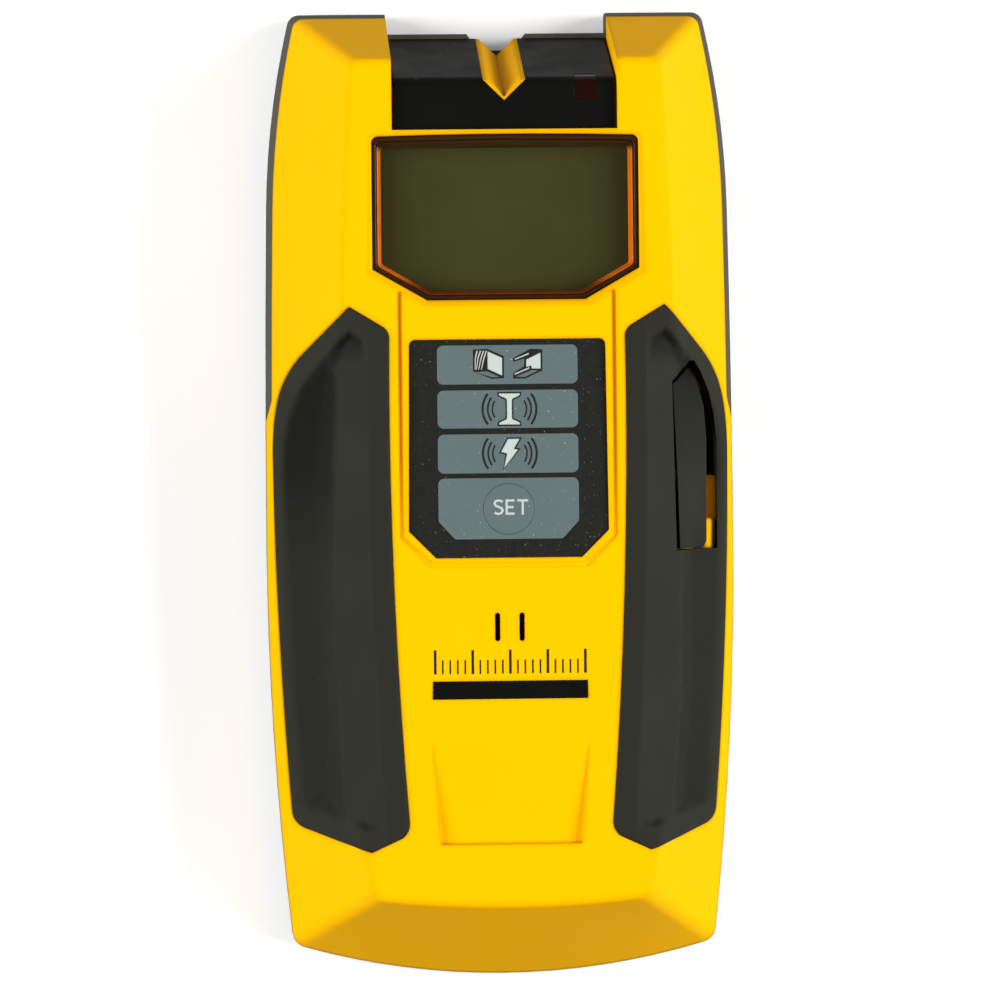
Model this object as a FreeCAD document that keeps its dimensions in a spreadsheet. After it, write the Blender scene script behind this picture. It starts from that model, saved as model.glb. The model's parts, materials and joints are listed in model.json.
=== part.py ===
"""Stud finder: a hand-held wall scanner with a display, a keypad, side grips and a 9 V battery bay.

Frame: +Z points out of the display face, +Y towards the marking notch, +X to the right of the display.
The origin is under the middle of the case, on the plane of the glide pads that run along the wall.
Lengths are in millimetres. Every driving dimension is a cell of the Sizes spreadsheet.
"""

import FreeCAD, Part
import math
import os
import re

import Sketcher

SIZES = {
    # case outline at the widest line, from the head corner round to the foot
    "base_z": 0.5, "rim_z": 5.5, "top_z": 38.0,
    "head_y": 80.5, "shoulder_y": 48.0, "shoulder_arc": 150.0, "waist_x": 39.2, "waist_y": -8.0,
    "flank_arc": 3000.0, "hip_arc": 590.0, "foot_y": -80.5, "foot_arc": 120.0,
    # the same outline where the flanks would reach the height of the front
    "front_head_y": 70.8, "front_shoulder_y": 45.0, "front_shoulder_arc": 1229.0,
    "front_waist_x": 27.3, "front_waist_y": -6.0, "front_flank_arc": 1229.0,
    "front_foot_y": -65.9, "front_hip_arc": 286.0, "front_foot_arc": 330.0,
    "head_round": 2.0, "foot_round": 2.8, "brow_round": 1.6, "base_round": 1.0,
    "crown_z": 37.0, "crown_y": 20.0, "crown_arc": 1600.0,
    # shells: walls and the stepped parting line between them
    "wall": 2.2, "floor_z": 2.5, "ceiling_z": 33.0, "well_half": 23.6, "well_brow_z": 31.2,
    "well_top_half": 21.0, "part_low_z": 5.5,
    "part_high_z": 8.0, "part_low_y": 12.5, "part_high_y": 16.0, "part_gap": 0.12,
    # cavity of the back shell
    "tray_foot_x": 29.0, "tray_foot_y": -77.0, "tray_foot_arc": 60.0, "tray_heel_x": 36.6,
    "tray_heel_y": -50.0, "tray_flank_arc": 1500.0, "tray_waist_x": 37.0, "tray_waist_y": 10.0,
    "tray_brow_arc": 400.0, "tray_brow_x": 36.4, "tray_brow_y": 50.0, "tray_head_x": 33.4,
    "tray_head_y": 71.6, "tray_end_arc": 260.0,
    # head recess between the horns, and the cover bar that lines it
    "bay_half": 18.5, "bay_foot_y": 59.8, "bay_head_y": 77.0, "bar_half": 18.1, "bar_foot_y": 59.9,
    "bar_top_z": 35.3, "bar_brow_y": 68.0, "bar_toe_y": 76.2, "bar_toe_z": 8.3, "bar_skin": 2.3,
    "bar_round": 2.6, "bay_skin": 2.4, "cheek": 2.6,
    "notch_half": 3.0, "notch_deep": 2.9, "notch_lip": 0.5, "mouth_half": 4.9, "mouth_y": 74.2,
    # display window and the parts behind it
    "window_half": 21.88, "window_head_y": 58.8, "window_foot_y": 31.92, "window_cut_x": 8.9,
    "window_cut_y": 5.1, "window_arc": 700.0, "window_round": 1.1, "window_bevel": 0.7, "lens_play": 0.15,
    "lens_top_z": 35.7, "lens_low_z": 32.1, "lens_flange_z": 32.9, "lens_flange": 1.1,
    "glass_half": 21.4, "glass_head_y": 57.0, "glass_foot_y": 31.2, "glass_low_z": 29.4,
    "glass_top_z": 31.7, "lamp_head_y": 56.5, "strip_head_y": 32.9,
    # keypad
    "pad_head_half": 16.0, "pad_foot_half": 16.3, "pad_head_y": 25.4, "pad_foot_y": -10.2,
    "pad_cut": 4.4, "pad_round": 1.1, "pad_floor_z": 36.05, "overlay_thick": 0.4, "pad_play": 0.1,
    "key_y": -2.3, "key_radius": 4.1, "key_play": 0.1, "key_low_z": 34.4, "stem_radius": 1.5,
    "groove_far": 17.9, "groove_near": 17.15, "groove_foot_y": -11.8, "groove_cut": 5.0,
    "groove_deep": 0.42, "groove_turn": 0.43,
    "guide_half": 8.0, "guide_tall": 2.2, "guide_first_y": 21.5, "guide_pitch": 7.25,
    "guide_low_z": 31.0, "guide_plate_z": 32.4,
    # sound slots and thumb recess
    "slot_x": 2.0, "slot_half": 0.45, "slot_head_y": -19.7, "slot_foot_y": -23.5,
    "thumb_head_y": -40.0, "thumb_foot_y": -57.2, "thumb_head_half": 13.0, "thumb_foot_half": 11.6,
    "thumb_rise": 1.1, "badge_half": 12.7, "badge_head_y": -30.4, "badge_foot_y": -33.4,
    "badge_deep": 0.5,
    # grips: the right-hand outline, from its foot along the outside to the apex and back
    "grip_foot_x": 22.9, "grip_foot_y": -58.4, "grip_toe_x": 33.6, "grip_toe_y": -55.2,
    "grip_tail_x": 35.5, "grip_tail_y": -52.4, "grip_outer_x": 38.1, "grip_outer_y": 6.0,
    "grip_outer_arc": 900.0, "grip_bow_arc": 44.0, "grip_bow_x": 37.2, "grip_bow_y": 15.9,
    "grip_shoulder_x": 33.1, "grip_shoulder_y": 23.6, "grip_shoulder_arc": 16.3,
    "grip_apex_x": 25.8, "grip_apex_y": 31.0, "grip_brow_x": 20.2, "grip_brow_y": 27.6,
    "grip_brow_arc": 2.3, "grip_inner_x": 19.3, "grip_inner_y": 25.6,
    "grip_inner_arc": 870.0, "grip_heel_x": 16.67, "grip_heel_y": -53.6, "grip_heel_arc": 2.9,
    "grip_sole_x": 17.9, "grip_sole_y": -56.1, "grip_toe_arc": 2.9,
    # grips: the section across, with its ridge, finger channel and rim
    "grip_proud": 0.35, "ridge_x": 28.2, "ridge_z": 34.2, "band_x": 23.2, "channel_x": 31.6,
    "channel_z": 22.0, "rim_x": 36.7, "rim_top_z": 12.2, "rim_low_z": 8.3,
    "bed_top_z": 34.6, "bed_x": 21.5, "bed_brow_x": 25.6, "bed_brow_z": 31.8, "bed_mid_x": 27.2,
    "bed_mid_z": 26.0, "bed_low_x": 30.0,
    "bed_low_z": 14.0, "bed_rim_x": 36.2,
    # power lever in the right grip, on a post of the front case
    "lever_pivot_x": 29.4, "lever_pivot_y": 17.4, "post_radius": 1.1, "post_play": 0.06,
    "post_top_z": 24.6, "lever_low_z": 18.1, "lever_head_x": 30.6, "lever_head_y": 21.6,
    "lever_side_x": 33.2, "lever_foot_y": -8.9, "lever_inner_x": 27.3, "lever_inner_foot_x": 28.7,
    "lever_top_z": 33.0, "lever_edge_z": 17.6, "lever_wall": 1.6, "hollow_top_z": 25.0,
    "seam": 0.35, "pit_x": 26.0, "pit_floor_z": 17.8, "pit_outer_x": 35.8, "pit_low_z": 11.5,
    "pit_ledge_x": 31.6, "pit_head_y": 22.3, "pit_foot_y": -9.5,
    # boards
    "board_z": 26.0, "board_thick": 1.6, "board_half": 22.2, "board_head_y": 62.4,
    "board_foot_y": -50.0, "sense_z": 3.9, "sense_thick": 1.2, "sense_half": 30.0,
    "sense_head_y": 69.0, "sense_foot_y": 0.0, "sense_neck": 24.5, "sense_neck_y": 59.4,
    "coil_y": 36.0, "coil_radius": 21.0, "coil_wide": 2.0, "coil_tall": 3.0, "plate_thick": 0.2,
    "plate_inner": 7.0, "plate_gap": 1.6, "plate_outer": 22.0, "plate_foot_y": 12.0,
    "plate_head_y": 52.0,
    "ribbon_half": 8.0, "ribbon_y": 2.0, "ribbon_thick": 0.8,
    "post_x": 20.2, "post_head_y": 28.7, "post_foot_y": -46.5, "stud_radius": 2.3,
    "sense_post_x": 26.5, "sense_post_head_y": 57.0, "sense_post_foot_y": 6.0,
    # switches, sounder and lamps on the main board
    "tact_half": 3.0, "tact_tall": 3.4, "plunger_radius": 1.0, "plunger_top_z": 32.3,
    "power_y": 3.0, "power_x": 19.2, "power_z": 29.5, "power_tip_x": 28.05,
    "contact_gap": 0.03, "sounder_radius": 6.0, "sounder_tall": 4.6, "sounder_y": -21.6,
    "led_half": 1.0, "led_tall": 1.2, "wire_led_x": 13.4, "wire_led_y": 60.4,
    "window_left_x": 11.7, "window_right_x": 15.1, "window_low_y": 64.6, "window_high_y": 68.8,
    "chip_half": 5.0, "chip_tall": 1.4, "part_half": 1.6, "can_radius": 2.5, "can_tall": 4.6,
    # battery, its clip and its leads
    "cell_half": 13.1, "cell_tall": 17.2, "cell_z": 3.4, "cell_foot_y": -67.5, "cell_head_y": -21.1,
    "stud_x": 6.35, "snap_play": 0.1, "snap_half": 12.4, "snap_low_z": 5.0, "snap_high_z": 19.0,
    "terminal_radius": 2.9, "terminal_tall": 1.8,
    "lead_x": 3.0, "lead_radius": 0.8, "lead_z": 12.0, "lead_y": -6.0, "lead_bend": 4.5,
    # battery bay and its door, at the back
    "cradle_half": 13.9, "cradle_roof_z": 21.2, "cradle_top_z": 22.6, "cradle_out_half": 17.4,
    "cradle_head_y": -13.6, "cradle_foot_y": -68.0, "cradle_end": 1.6, "cradle_foot_end": 1.2,
    "door_half": 15.6, "door_head_y": -15.0, "door_foot_y": -75.4, "door_play": 0.3,
    "door_thick": 2.0, "hinge_y": -14.6, "hinge_z": 2.6, "hinge_radius": 1.7, "pin_radius": 0.9,
    "door_setback": 2.65,
    "pin_long": 1.4, "pin_play": 0.05, "knuckle_half": 12.0,
    "foam_thick": 0.8, "foam_half": 9.0,
    "latch_half": 5.0, "latch_y": -74.4, "latch_wall": 1.0, "latch_z": 9.4, "latch_pin": 0.55,
    "latch_play": 0.05, "latch_tip_y": -75.2, "hook_tip_y": -75.55, "hook_z": 2.8, "hook_tall": 1.4,
    "ear_thick": 1.5, "ear_top_z": 10.4,
    # fasteners and glide pads
    "boss_radius": 3.4, "boss_split_z": 9.0, "boss_top_z": 14.5, "boss_head_x": 29.4,
    "boss_head_y": 63.5, "boss_foot_x": 23.5, "boss_foot_y": -61.5, "shank_radius": 1.4,
    "shank_bore": 1.45, "cap_radius": 2.6, "cap_bore": 2.9, "cap_z": 2.2, "cap_tall": 1.6,
    "shank_long": 9.4, "small_shank": 1.0, "small_bore": 1.05, "small_cap": 1.9, "small_tall": 1.1,
    "small_long": 5.0, "glide_radius": 4.0, "glide_head_x": 24.0, "glide_head_y": 73.0,
    "glide_foot_x": 25.0, "glide_foot_y": -70.0,
}

doc = FreeCAD.newDocument("stud_finder")
sheet = doc.addObject("Spreadsheet::Sheet", "Sizes")
for row, (alias, size) in enumerate(SIZES.items(), 1):
    sheet.set(f"A{row}", alias)
    sheet.set(f"B{row}", str(size))
    sheet.setAlias(f"B{row}", alias)
doc.recompute()

Vector = FreeCAD.Vector
START, END, CENTRE = 1, 2, 3
NODES = {}


# ---------------------------------------------------------------- helpers
def cell(text):
    """An expression on the aliases above, written for FreeCAD's expression engine."""
    return re.sub(r"[a-z][a-z_]*", lambda m: "Sizes." + m[0] if m[0] in SIZES else m[0], str(text))


def number(text):
    """The value that the expression has now, for a first position."""
    return float(sheet.evalExpression(cell(text)))


def bind(item, **expressions):
    """Binds properties to expressions; a double underscore stands for a dot."""
    for name, text in expressions.items():
        item.setExpression(name.replace("__", "."), cell(text))


def node(label, item):
    """Registers item as the sub-part of that name."""
    item.Label = label
    NODES[label] = item
    return item


def body(name):
    return doc.addObject("PartDesign::Body", name)


def plane(owner, role):
    return next(p for p in owner.Origin.OriginFeatures if p.Role == role)


def fix(sketch, geometry, end, x, y):
    """Dimensions one point of a sketch from the origin."""
    for kind, text in (("DistanceX", x), ("DistanceY", y)):
        index = sketch.addConstraint(Sketcher.Constraint(kind, -1, 1, geometry, end, number(text)))
        sketch.setExpression(f"Constraints[{index}]", cell(text))


def new_sketch(owner, role, offset):
    sketch = owner.newObject("Sketcher::SketchObject", "Profile")
    sketch.AttachmentSupport = (plane(owner, role), [""])
    sketch.MapMode = "FlatFace"
    sign = "-1 * " if role == "XZ_Plane" else ""
    sketch.setExpression("AttachmentOffset.Base.z", cell(f"{sign}({offset})"))
    return sketch


def arc_edge(start, end, radius):
    """The arc from start to end; a positive radius bulges to the right of the way travelled."""
    chord = end - start
    half = chord.Length / 2
    across = Vector(-chord.y, chord.x, 0).normalize()
    side = 1 if radius > 0 else -1
    centre = (start + end) / 2 + across * side * math.sqrt(radius**2 - half**2)
    first, last = (math.atan2(p.y - centre.y, p.x - centre.x) for p in (start, end))
    if side < 0:
        first, last = last, first
    return Part.ArcOfCircle(Part.Circle(centre, Vector(0, 0, 1), abs(radius)), first, last)


def polygon(owner, role, offset, *loops):
    """A sketch of closed loops. A vertex is (x, y), or (x, y, radius) where an arc leaves it."""
    sketch = new_sketch(owner, role, offset)
    for loop in loops:
        first = sketch.GeometryCount
        corners = [Vector(number(v[0]), number(v[1]), 0) for v in loop]
        count = len(loop)
        ends = []
        for i, vertex in enumerate(loop):
            start, end = corners[i], corners[(i + 1) % count]
            if len(vertex) == 3:
                radius = number(vertex[2])
                sketch.addGeometry(arc_edge(start, end, radius), False)
                text = vertex[2] if radius > 0 else f"-1 * ({vertex[2]})"
                index = sketch.addConstraint(Sketcher.Constraint("Radius", first + i, abs(radius)))
                sketch.setExpression(f"Constraints[{index}]", cell(text))
                ends.append((START, END) if radius > 0 else (END, START))
            else:
                sketch.addGeometry(Part.LineSegment(start, end), False)
                ends.append((START, END))
        for i in range(count):
            j = (i + 1) % count
            sketch.addConstraint(
                Sketcher.Constraint("Coincident", first + i, ends[i][1], first + j, ends[j][0]))
        for i, vertex in enumerate(loop):
            fix(sketch, first + i, ends[i][0], vertex[0], vertex[1])
    return sketch


def circles(owner, role, offset, *rings):
    """A sketch of circles, each (x, y, radius)."""
    sketch = new_sketch(owner, role, offset)
    for x, y, radius in rings:
        centre = Vector(number(x), number(y), 0)
        ring = sketch.addGeometry(Part.Circle(centre, Vector(0, 0, 1), number(radius)), False)
        fix(sketch, ring, CENTRE, x, y)
        index = sketch.addConstraint(Sketcher.Constraint("Radius", ring, number(radius)))
        sketch.setExpression(f"Constraints[{index}]", cell(radius))
    return sketch


def rectangle(x0, y0, x1, y1):
    return [(x0, y0), (x1, y0), (x1, y1), (x0, y1)]


def extrude(owner, kind, sketch, length, reverse=False, both=False):
    """A Pad or Pocket, with the change of volume checked."""
    before = owner.Shape.Volume if owner.Tip else 0.0
    feature = owner.newObject("PartDesign::" + kind, kind)
    feature.Profile = sketch
    feature.Midplane = both
    feature.Reversed = reverse
    if length is None:
        feature.Type = "ThroughAll"
    else:
        bind(feature, Length=length)
    settle(owner, feature, before)
    return feature


def pad(owner, sketch, length, reverse=False, both=False):
    return extrude(owner, "Pad", sketch, length, reverse, both)


def pocket(owner, sketch, length=None, reverse=False, both=False):
    return extrude(owner, "Pocket", sketch, length, reverse, both)


def loft(owner, kind, *sketches):
    before = owner.Shape.Volume if owner.Tip else 0.0
    feature = owner.newObject(f"PartDesign::{kind}Loft", kind + "Loft")
    feature.Profile = sketches[0]
    feature.Sections = list(sketches[1:])
    feature.Ruled = True
    settle(owner, feature, before)
    return feature


def settle(owner, feature, before):
    """Recomputes, and stops if the feature failed or changed nothing."""
    doc.recompute()
    if feature.State and feature.State[0] in ("Invalid", "Error"):
        raise RuntimeError(f"{owner.Name}.{feature.Name} failed")
    if abs(owner.Shape.Volume - before) < 1e-3:
        raise RuntimeError(f"{owner.Name}.{feature.Name} changed nothing")


def fillet(owner, radius, chosen):
    """A fillet on the edges that chosen(edge) picks."""
    base = owner.Tip
    names = [f"Edge{i}" for i, edge in enumerate(base.Shape.Edges, 1) if chosen(edge)]
    if not names:
        raise RuntimeError(f"{owner.Name}: no edge to round")
    before = base.Shape.Volume
    feature = owner.newObject("PartDesign::Fillet", "Fillet")
    feature.Base = (base, names)
    bind(feature, Radius=radius)
    settle(owner, feature, before)
    return feature


def between(low, high, axis="z"):
    """Picks edges that lie wholly between two heights on an axis."""
    def chosen(edge):
        box = edge.BoundBox
        return getattr(box, axis.upper() + "Min") > low and getattr(box, axis.upper() + "Max") < high
    return chosen


def mirrored(points):
    """The same loop on the other side of the YZ plane, travelled the other way round."""
    count = len(points)
    loop = []
    for i in range(count - 1, -1, -1):
        x, y = points[i][:2]
        arc = points[i - 1][2:]
        loop.append((f"-1 * ({x})", y, *arc))
    return loop


# ---------------------------------------------------------------- the envelope of the case
def where_circles_meet(centre_a, radius_a, centre_b, radius_b):
    """The lowest of the two points that two circles share."""
    apart = centre_b - centre_a
    along = (apart.Length**2 + radius_a**2 - radius_b**2) / (2 * apart.Length)
    across = math.sqrt(radius_a**2 - along**2)
    unit = Vector(apart).normalize()
    middle = centre_a + unit * along
    side = Vector(-unit.y, unit.x, 0) * across
    return min(middle + side, middle - side, key=lambda p: p.y)


def outline(owner, height, prefix=""):
    """The case outline at a height: arched foot, flanks of three arcs, straight head, all tangent."""
    size = {name: number(prefix + name) for name in (
        "waist_x", "waist_y", "shoulder_y", "head_y", "foot_y", "hip_arc", "flank_arc",
        "shoulder_arc", "foot_arc")}
    head_round, foot_round = number("head_round"), number("foot_round")
    hip = Vector(size["waist_x"] - size["hip_arc"], size["waist_y"], 0)
    flank = Vector(size["waist_x"] - size["flank_arc"], size["waist_y"], 0)
    rise = (size["shoulder_y"] - size["waist_y"]) / size["flank_arc"]
    inward = Vector(math.sqrt(1 - rise**2), rise, 0)
    shoulder = flank + inward * (size["flank_arc"] - size["shoulder_arc"])
    foot = Vector(0, size["foot_y"] + size["foot_arc"], 0)
    head_drop = size["head_y"] - head_round - shoulder.y
    head_reach = math.sqrt((size["shoulder_arc"] - head_round)**2 - head_drop**2)
    head_corner = shoulder + Vector(head_reach, head_drop, 0)
    foot_corner = where_circles_meet(
        hip, size["hip_arc"] - foot_round, foot, size["foot_arc"] - foot_round)

    def touch(big, small, radius):
        return big + (small - big).normalize() * radius

    foot_tip = touch(foot, foot_corner, size["foot_arc"])
    hip_low = touch(hip, foot_corner, size["hip_arc"])
    waist = hip + Vector(size["hip_arc"], 0, 0)
    shoulder_low = flank + inward * size["flank_arc"]
    shoulder_high = touch(shoulder, head_corner, size["shoulder_arc"])
    head_tip = head_corner + Vector(0, head_round, 0)

    def flip(point):
        return Vector(-point.x, point.y, 0)

    right = [
        (foot_corner, foot_tip, hip_low, "foot_round"),
        (hip, hip_low, waist, prefix + "hip_arc"),
        (flank, waist, shoulder_low, prefix + "flank_arc"),
        (shoulder, shoulder_low, shoulder_high, prefix + "shoulder_arc"),
        (head_corner, shoulder_high, head_tip, "head_round"),
    ]
    left = [(flip(c), flip(end), flip(start), name) for c, start, end, name in reversed(right)]
    head_line = (None, head_tip, flip(head_tip), None)
    foot_line = (foot, flip(foot_tip), foot_tip, prefix + "foot_arc")
    sketch = new_sketch(owner, "XY_Plane", height)
    pieces = right + [head_line] + left + [foot_line]
    for centre, start, end, name in pieces:
        if name is None:
            sketch.addGeometry(Part.LineSegment(start, end), False)
            continue
        first, last = (math.atan2(p.y - centre.y, p.x - centre.x) for p in (start, end))
        circle = Part.Circle(centre, Vector(0, 0, 1), number(name))
        sketch.addGeometry(Part.ArcOfCircle(circle, first, last), False)
    for i, (_, _, _, name) in enumerate(pieces):
        after = (i + 1) % len(pieces)
        sketch.addConstraint(Sketcher.Constraint("Tangent", i, END, after, START))
    for i, (_, _, _, name) in enumerate(pieces):
        if name is not None:
            index = sketch.addConstraint(Sketcher.Constraint("Radius", i, number(name)))
            sketch.setExpression(f"Constraints[{index}]", cell(name))

    def place(kind, piece, point, text):
        index = sketch.addConstraint(Sketcher.Constraint(kind, -1, 1, piece, point, number(text)))
        sketch.setExpression(f"Constraints[{index}]", cell(text))

    waist_centre = f"{prefix}waist_x - {prefix}hip_arc"
    for hip_piece, shoulder_piece, sign, low_end in ((1, 3, "", START), (9, 7, "-1 * ", END)):
        place("DistanceX", hip_piece, CENTRE, f"{sign}({waist_centre})")
        place("DistanceY", hip_piece, CENTRE, f"{prefix}waist_y")
        place("DistanceY", hip_piece + (1 if hip_piece == 1 else -1), CENTRE, f"{prefix}waist_y")
        place("DistanceY", shoulder_piece, low_end, f"{prefix}shoulder_y")
    sketch.addConstraint(Sketcher.Constraint("Horizontal", 5))
    place("DistanceY", 5, START, f"{prefix}head_y")
    place("DistanceY", 11, CENTRE, f"{prefix}foot_y + {prefix}foot_arc")
    sketch.addConstraint(Sketcher.Constraint("PointOnObject", 11, CENTRE, -2))
    return sketch


def envelope(owner):
    """The outer shape of the whole case, which each shell is cut from."""
    loft(owner, "Additive", outline(owner, "rim_z"), outline(owner, "top_z", "front_"))
    crown = polygon(owner, "YZ_Plane", 0, [
        ("-1 * head_y", "crown_z - (head_y + crown_y)^2 / (2 * crown_arc)", "-1 * crown_arc"),
        ("head_y", "crown_z - (head_y - crown_y)^2 / (2 * crown_arc)"),
        ("head_y", "top_z + 5"),
        ("-1 * head_y", "top_z + 5"),
    ])
    pocket(owner, crown, both=True)
    fillet(owner, "brow_round", between(number("crown_z") - 5, number("top_z")))
    last = owner.Tip
    before = last.Shape.Volume
    rim = next(i for i, f in enumerate(last.Shape.Faces, 1)
               if abs(f.BoundBox.ZMax - number("rim_z")) < 1e-4)
    base = owner.newObject("PartDesign::Pad", "Pad")
    base.Profile = (last, [f"Face{rim}"])
    bind(base, Length="rim_z - base_z")
    settle(owner, base, before)
    fillet(owner, "base_round", between(-1, number("base_z") + 0.01))



def part_line(owner, gap, keep_front):
    """Cuts the envelope along the stepped line where the two shells meet."""
    low, high = f"part_low_z + {gap}", f"part_high_z + {gap}"
    far = "head_y + 5"
    line = [(far, high), ("part_high_y", high), ("part_low_y", low), (f"-1 * ({far})", low)]
    if keep_front:
        loop = [(f"-1 * ({far})", -5), (far, -5)] + line
    else:
        loop = [(f"-1 * ({far})", "top_z + 5"), (f"-1 * ({far})", low), *line[::-1][1:],
                (far, "top_z + 5")]
    pocket(owner, polygon(owner, "YZ_Plane", 0, loop), both=True)


def window_loop(grow="0"):
    """The display window: arched head, rounded upper corners and cut lower corners."""
    half, head, foot = f"window_half + {grow}", f"window_head_y + {grow}", f"window_foot_y - {grow}"
    inner, turn = f"{half} - window_cut_x", f"{half} - window_round"
    step, shoulder = f"{foot} + window_cut_y", f"{head} - window_round"
    return [
        (f"-1 * ({inner})", foot), (inner, foot), (half, step), (half, shoulder, "window_round"),
        (turn, head, "window_arc"), (f"-1 * ({turn})", head, "window_round"),
        (f"-1 * ({half})", shoulder), (f"-1 * ({half})", step),
    ]


def keypad_loop(grow="0"):
    """The keypad film: rounded at its head, and cut across its foot corners."""
    foot, head = f"pad_foot_y - {grow}", f"pad_head_y + {grow}"
    half = f"pad_head_half + {grow}"
    right = [
        (f"pad_foot_half - pad_cut + {grow} / 2", foot),
        (f"pad_foot_half + {grow}", f"{foot} + pad_cut + {grow} / 2"),
        (half, f"{head} - pad_round", "pad_round"), (f"{half} - pad_round", head),
    ]
    return right + mirrored(right)


def groove_loop(half, lift):
    """One edge of the fine groove that runs from the display down both sides and round the keypad."""
    return [(half, "window_foot_y + 1.5"), (half, "groove_foot_y + groove_cut"),
            (f"{half} - groove_cut + groove_turn * {lift}", f"groove_foot_y + {lift}")]


def slope_y(z, inset="0"):
    """Y of the cover bar's sloping face at a height."""
    run = "(bar_toe_y - bar_brow_y) / (bar_top_z - bar_toe_z)"
    return f"bar_brow_y + (bar_top_z - ({z})) * {run} - ({inset})"


def notch_loop(z, grow="0"):
    """The vee of the marking notch at a height, in the sloping face."""
    face = slope_y(z, "-0.5")
    tip = slope_y(z, f"notch_deep + {grow}")
    half = f"(notch_half + {grow}) * (notch_deep + {grow} + 0.5) / (notch_deep + {grow})"
    return [(f"-1 * ({half})", face), ("0", tip), (half, face)]


def thumb_section(owner, y, half, floor):
    return polygon(owner, "XZ_Plane", y, rectangle(f"-1 * {half}", floor, half, "top_z + 3"))


def crown(y):
    """Height of the crowned front at a place along the case."""
    return f"crown_z - (({y}) - crown_y)^2 / (2 * crown_arc)"


def guide_rows():
    """Y of the three lit windows of the keypad."""
    return [f"guide_first_y - {i} * guide_pitch" for i in range(3)]


def corners(x, y_head, y_foot, x_foot=None):
    """The four places of a left and right pair at the head and at the foot."""
    x_foot = x_foot or x
    return [(x, y_head), (f"-1 * {x}", y_head), (x_foot, y_foot), (f"-1 * {x_foot}", y_foot)]


def case_screw_places():
    return corners("boss_head_x", "boss_head_y", "boss_foot_y", "boss_foot_x")


# ---------------------------------------------------------------- front shell
def hollow_front(owner):
    """The cavity of the front shell: keyboard well, head, horns, tail and the wide sensor well."""
    half, ceiling = "well_half", "ceiling_z"
    well = [(-26, -1), (-26, 6), ("-1 * well_half", 8), ("-1 * well_half", "well_brow_z"),
            ("-1 * well_top_half", "ceiling_z")]
    well += [("-1 * (%s)" % x, z) for x, z in well[::-1]]
    pocket(owner, polygon(owner, "XZ_Plane", -54, well), 88)
    loft(owner, "Subtractive",
         polygon(owner, "XY_Plane", 0, rectangle(-35, 31, 35, 57.4)),
         polygon(owner, "XY_Plane", ceiling, rectangle(-23.8, 31, 23.8, 57.4)))
    cheek = "bay_half + cheek"
    for turn in (lambda loop: loop, mirrored):
        loft(owner, "Subtractive",
             polygon(owner, "XY_Plane", 0, turn(rectangle(cheek, 57, 34.4, 76.6))),
             polygon(owner, "XY_Plane", ceiling, turn(rectangle(cheek, 57, 23.2, 68.4))))
    skin = "(bay_skin + wall)"
    under = [(57, -1), (57, f"bar_top_z - {skin}"), (f"bar_brow_y - {skin}", f"bar_top_z - {skin}"),
             (f"bar_toe_y - {skin} - 0.6", "bar_toe_z"), (f"bar_toe_y - {skin} - 0.6", -1)]
    pocket(owner, polygon(owner, "YZ_Plane", 0, under), f"2 * ({cheek} + 0.1)", both=True)
    tail = [(-53, -1), (-53, 32.4), (-65.4, 31.6), (-77.2, 6), (-77.2, -1)]
    pocket(owner, polygon(owner, "YZ_Plane", 0, tail), 37.2, both=True)
    latch_room = [(-70, -1), (-70, 11.6), (-75.9, 11.6), (-77.4, 9.2), (-77.4, -1)]
    pocket(owner, polygon(owner, "YZ_Plane", 0, latch_room), "2 * (latch_half + 3)", both=True)
    low = [(-27, -73), (27, -73), (27, -50), (31.4, -50), (31.4, 72), (-31.4, 72), (-31.4, -50),
           (-27, -50)]
    pocket(owner, polygon(owner, "XY_Plane", -1, low), 11.4, reverse=True)
    pocket(owner, circles(owner, "XY_Plane", -1,
                          *[(x, y, "boss_radius + 0.3") for x, y in case_screw_places()]),
           "boss_split_z + 1", reverse=True)


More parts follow.
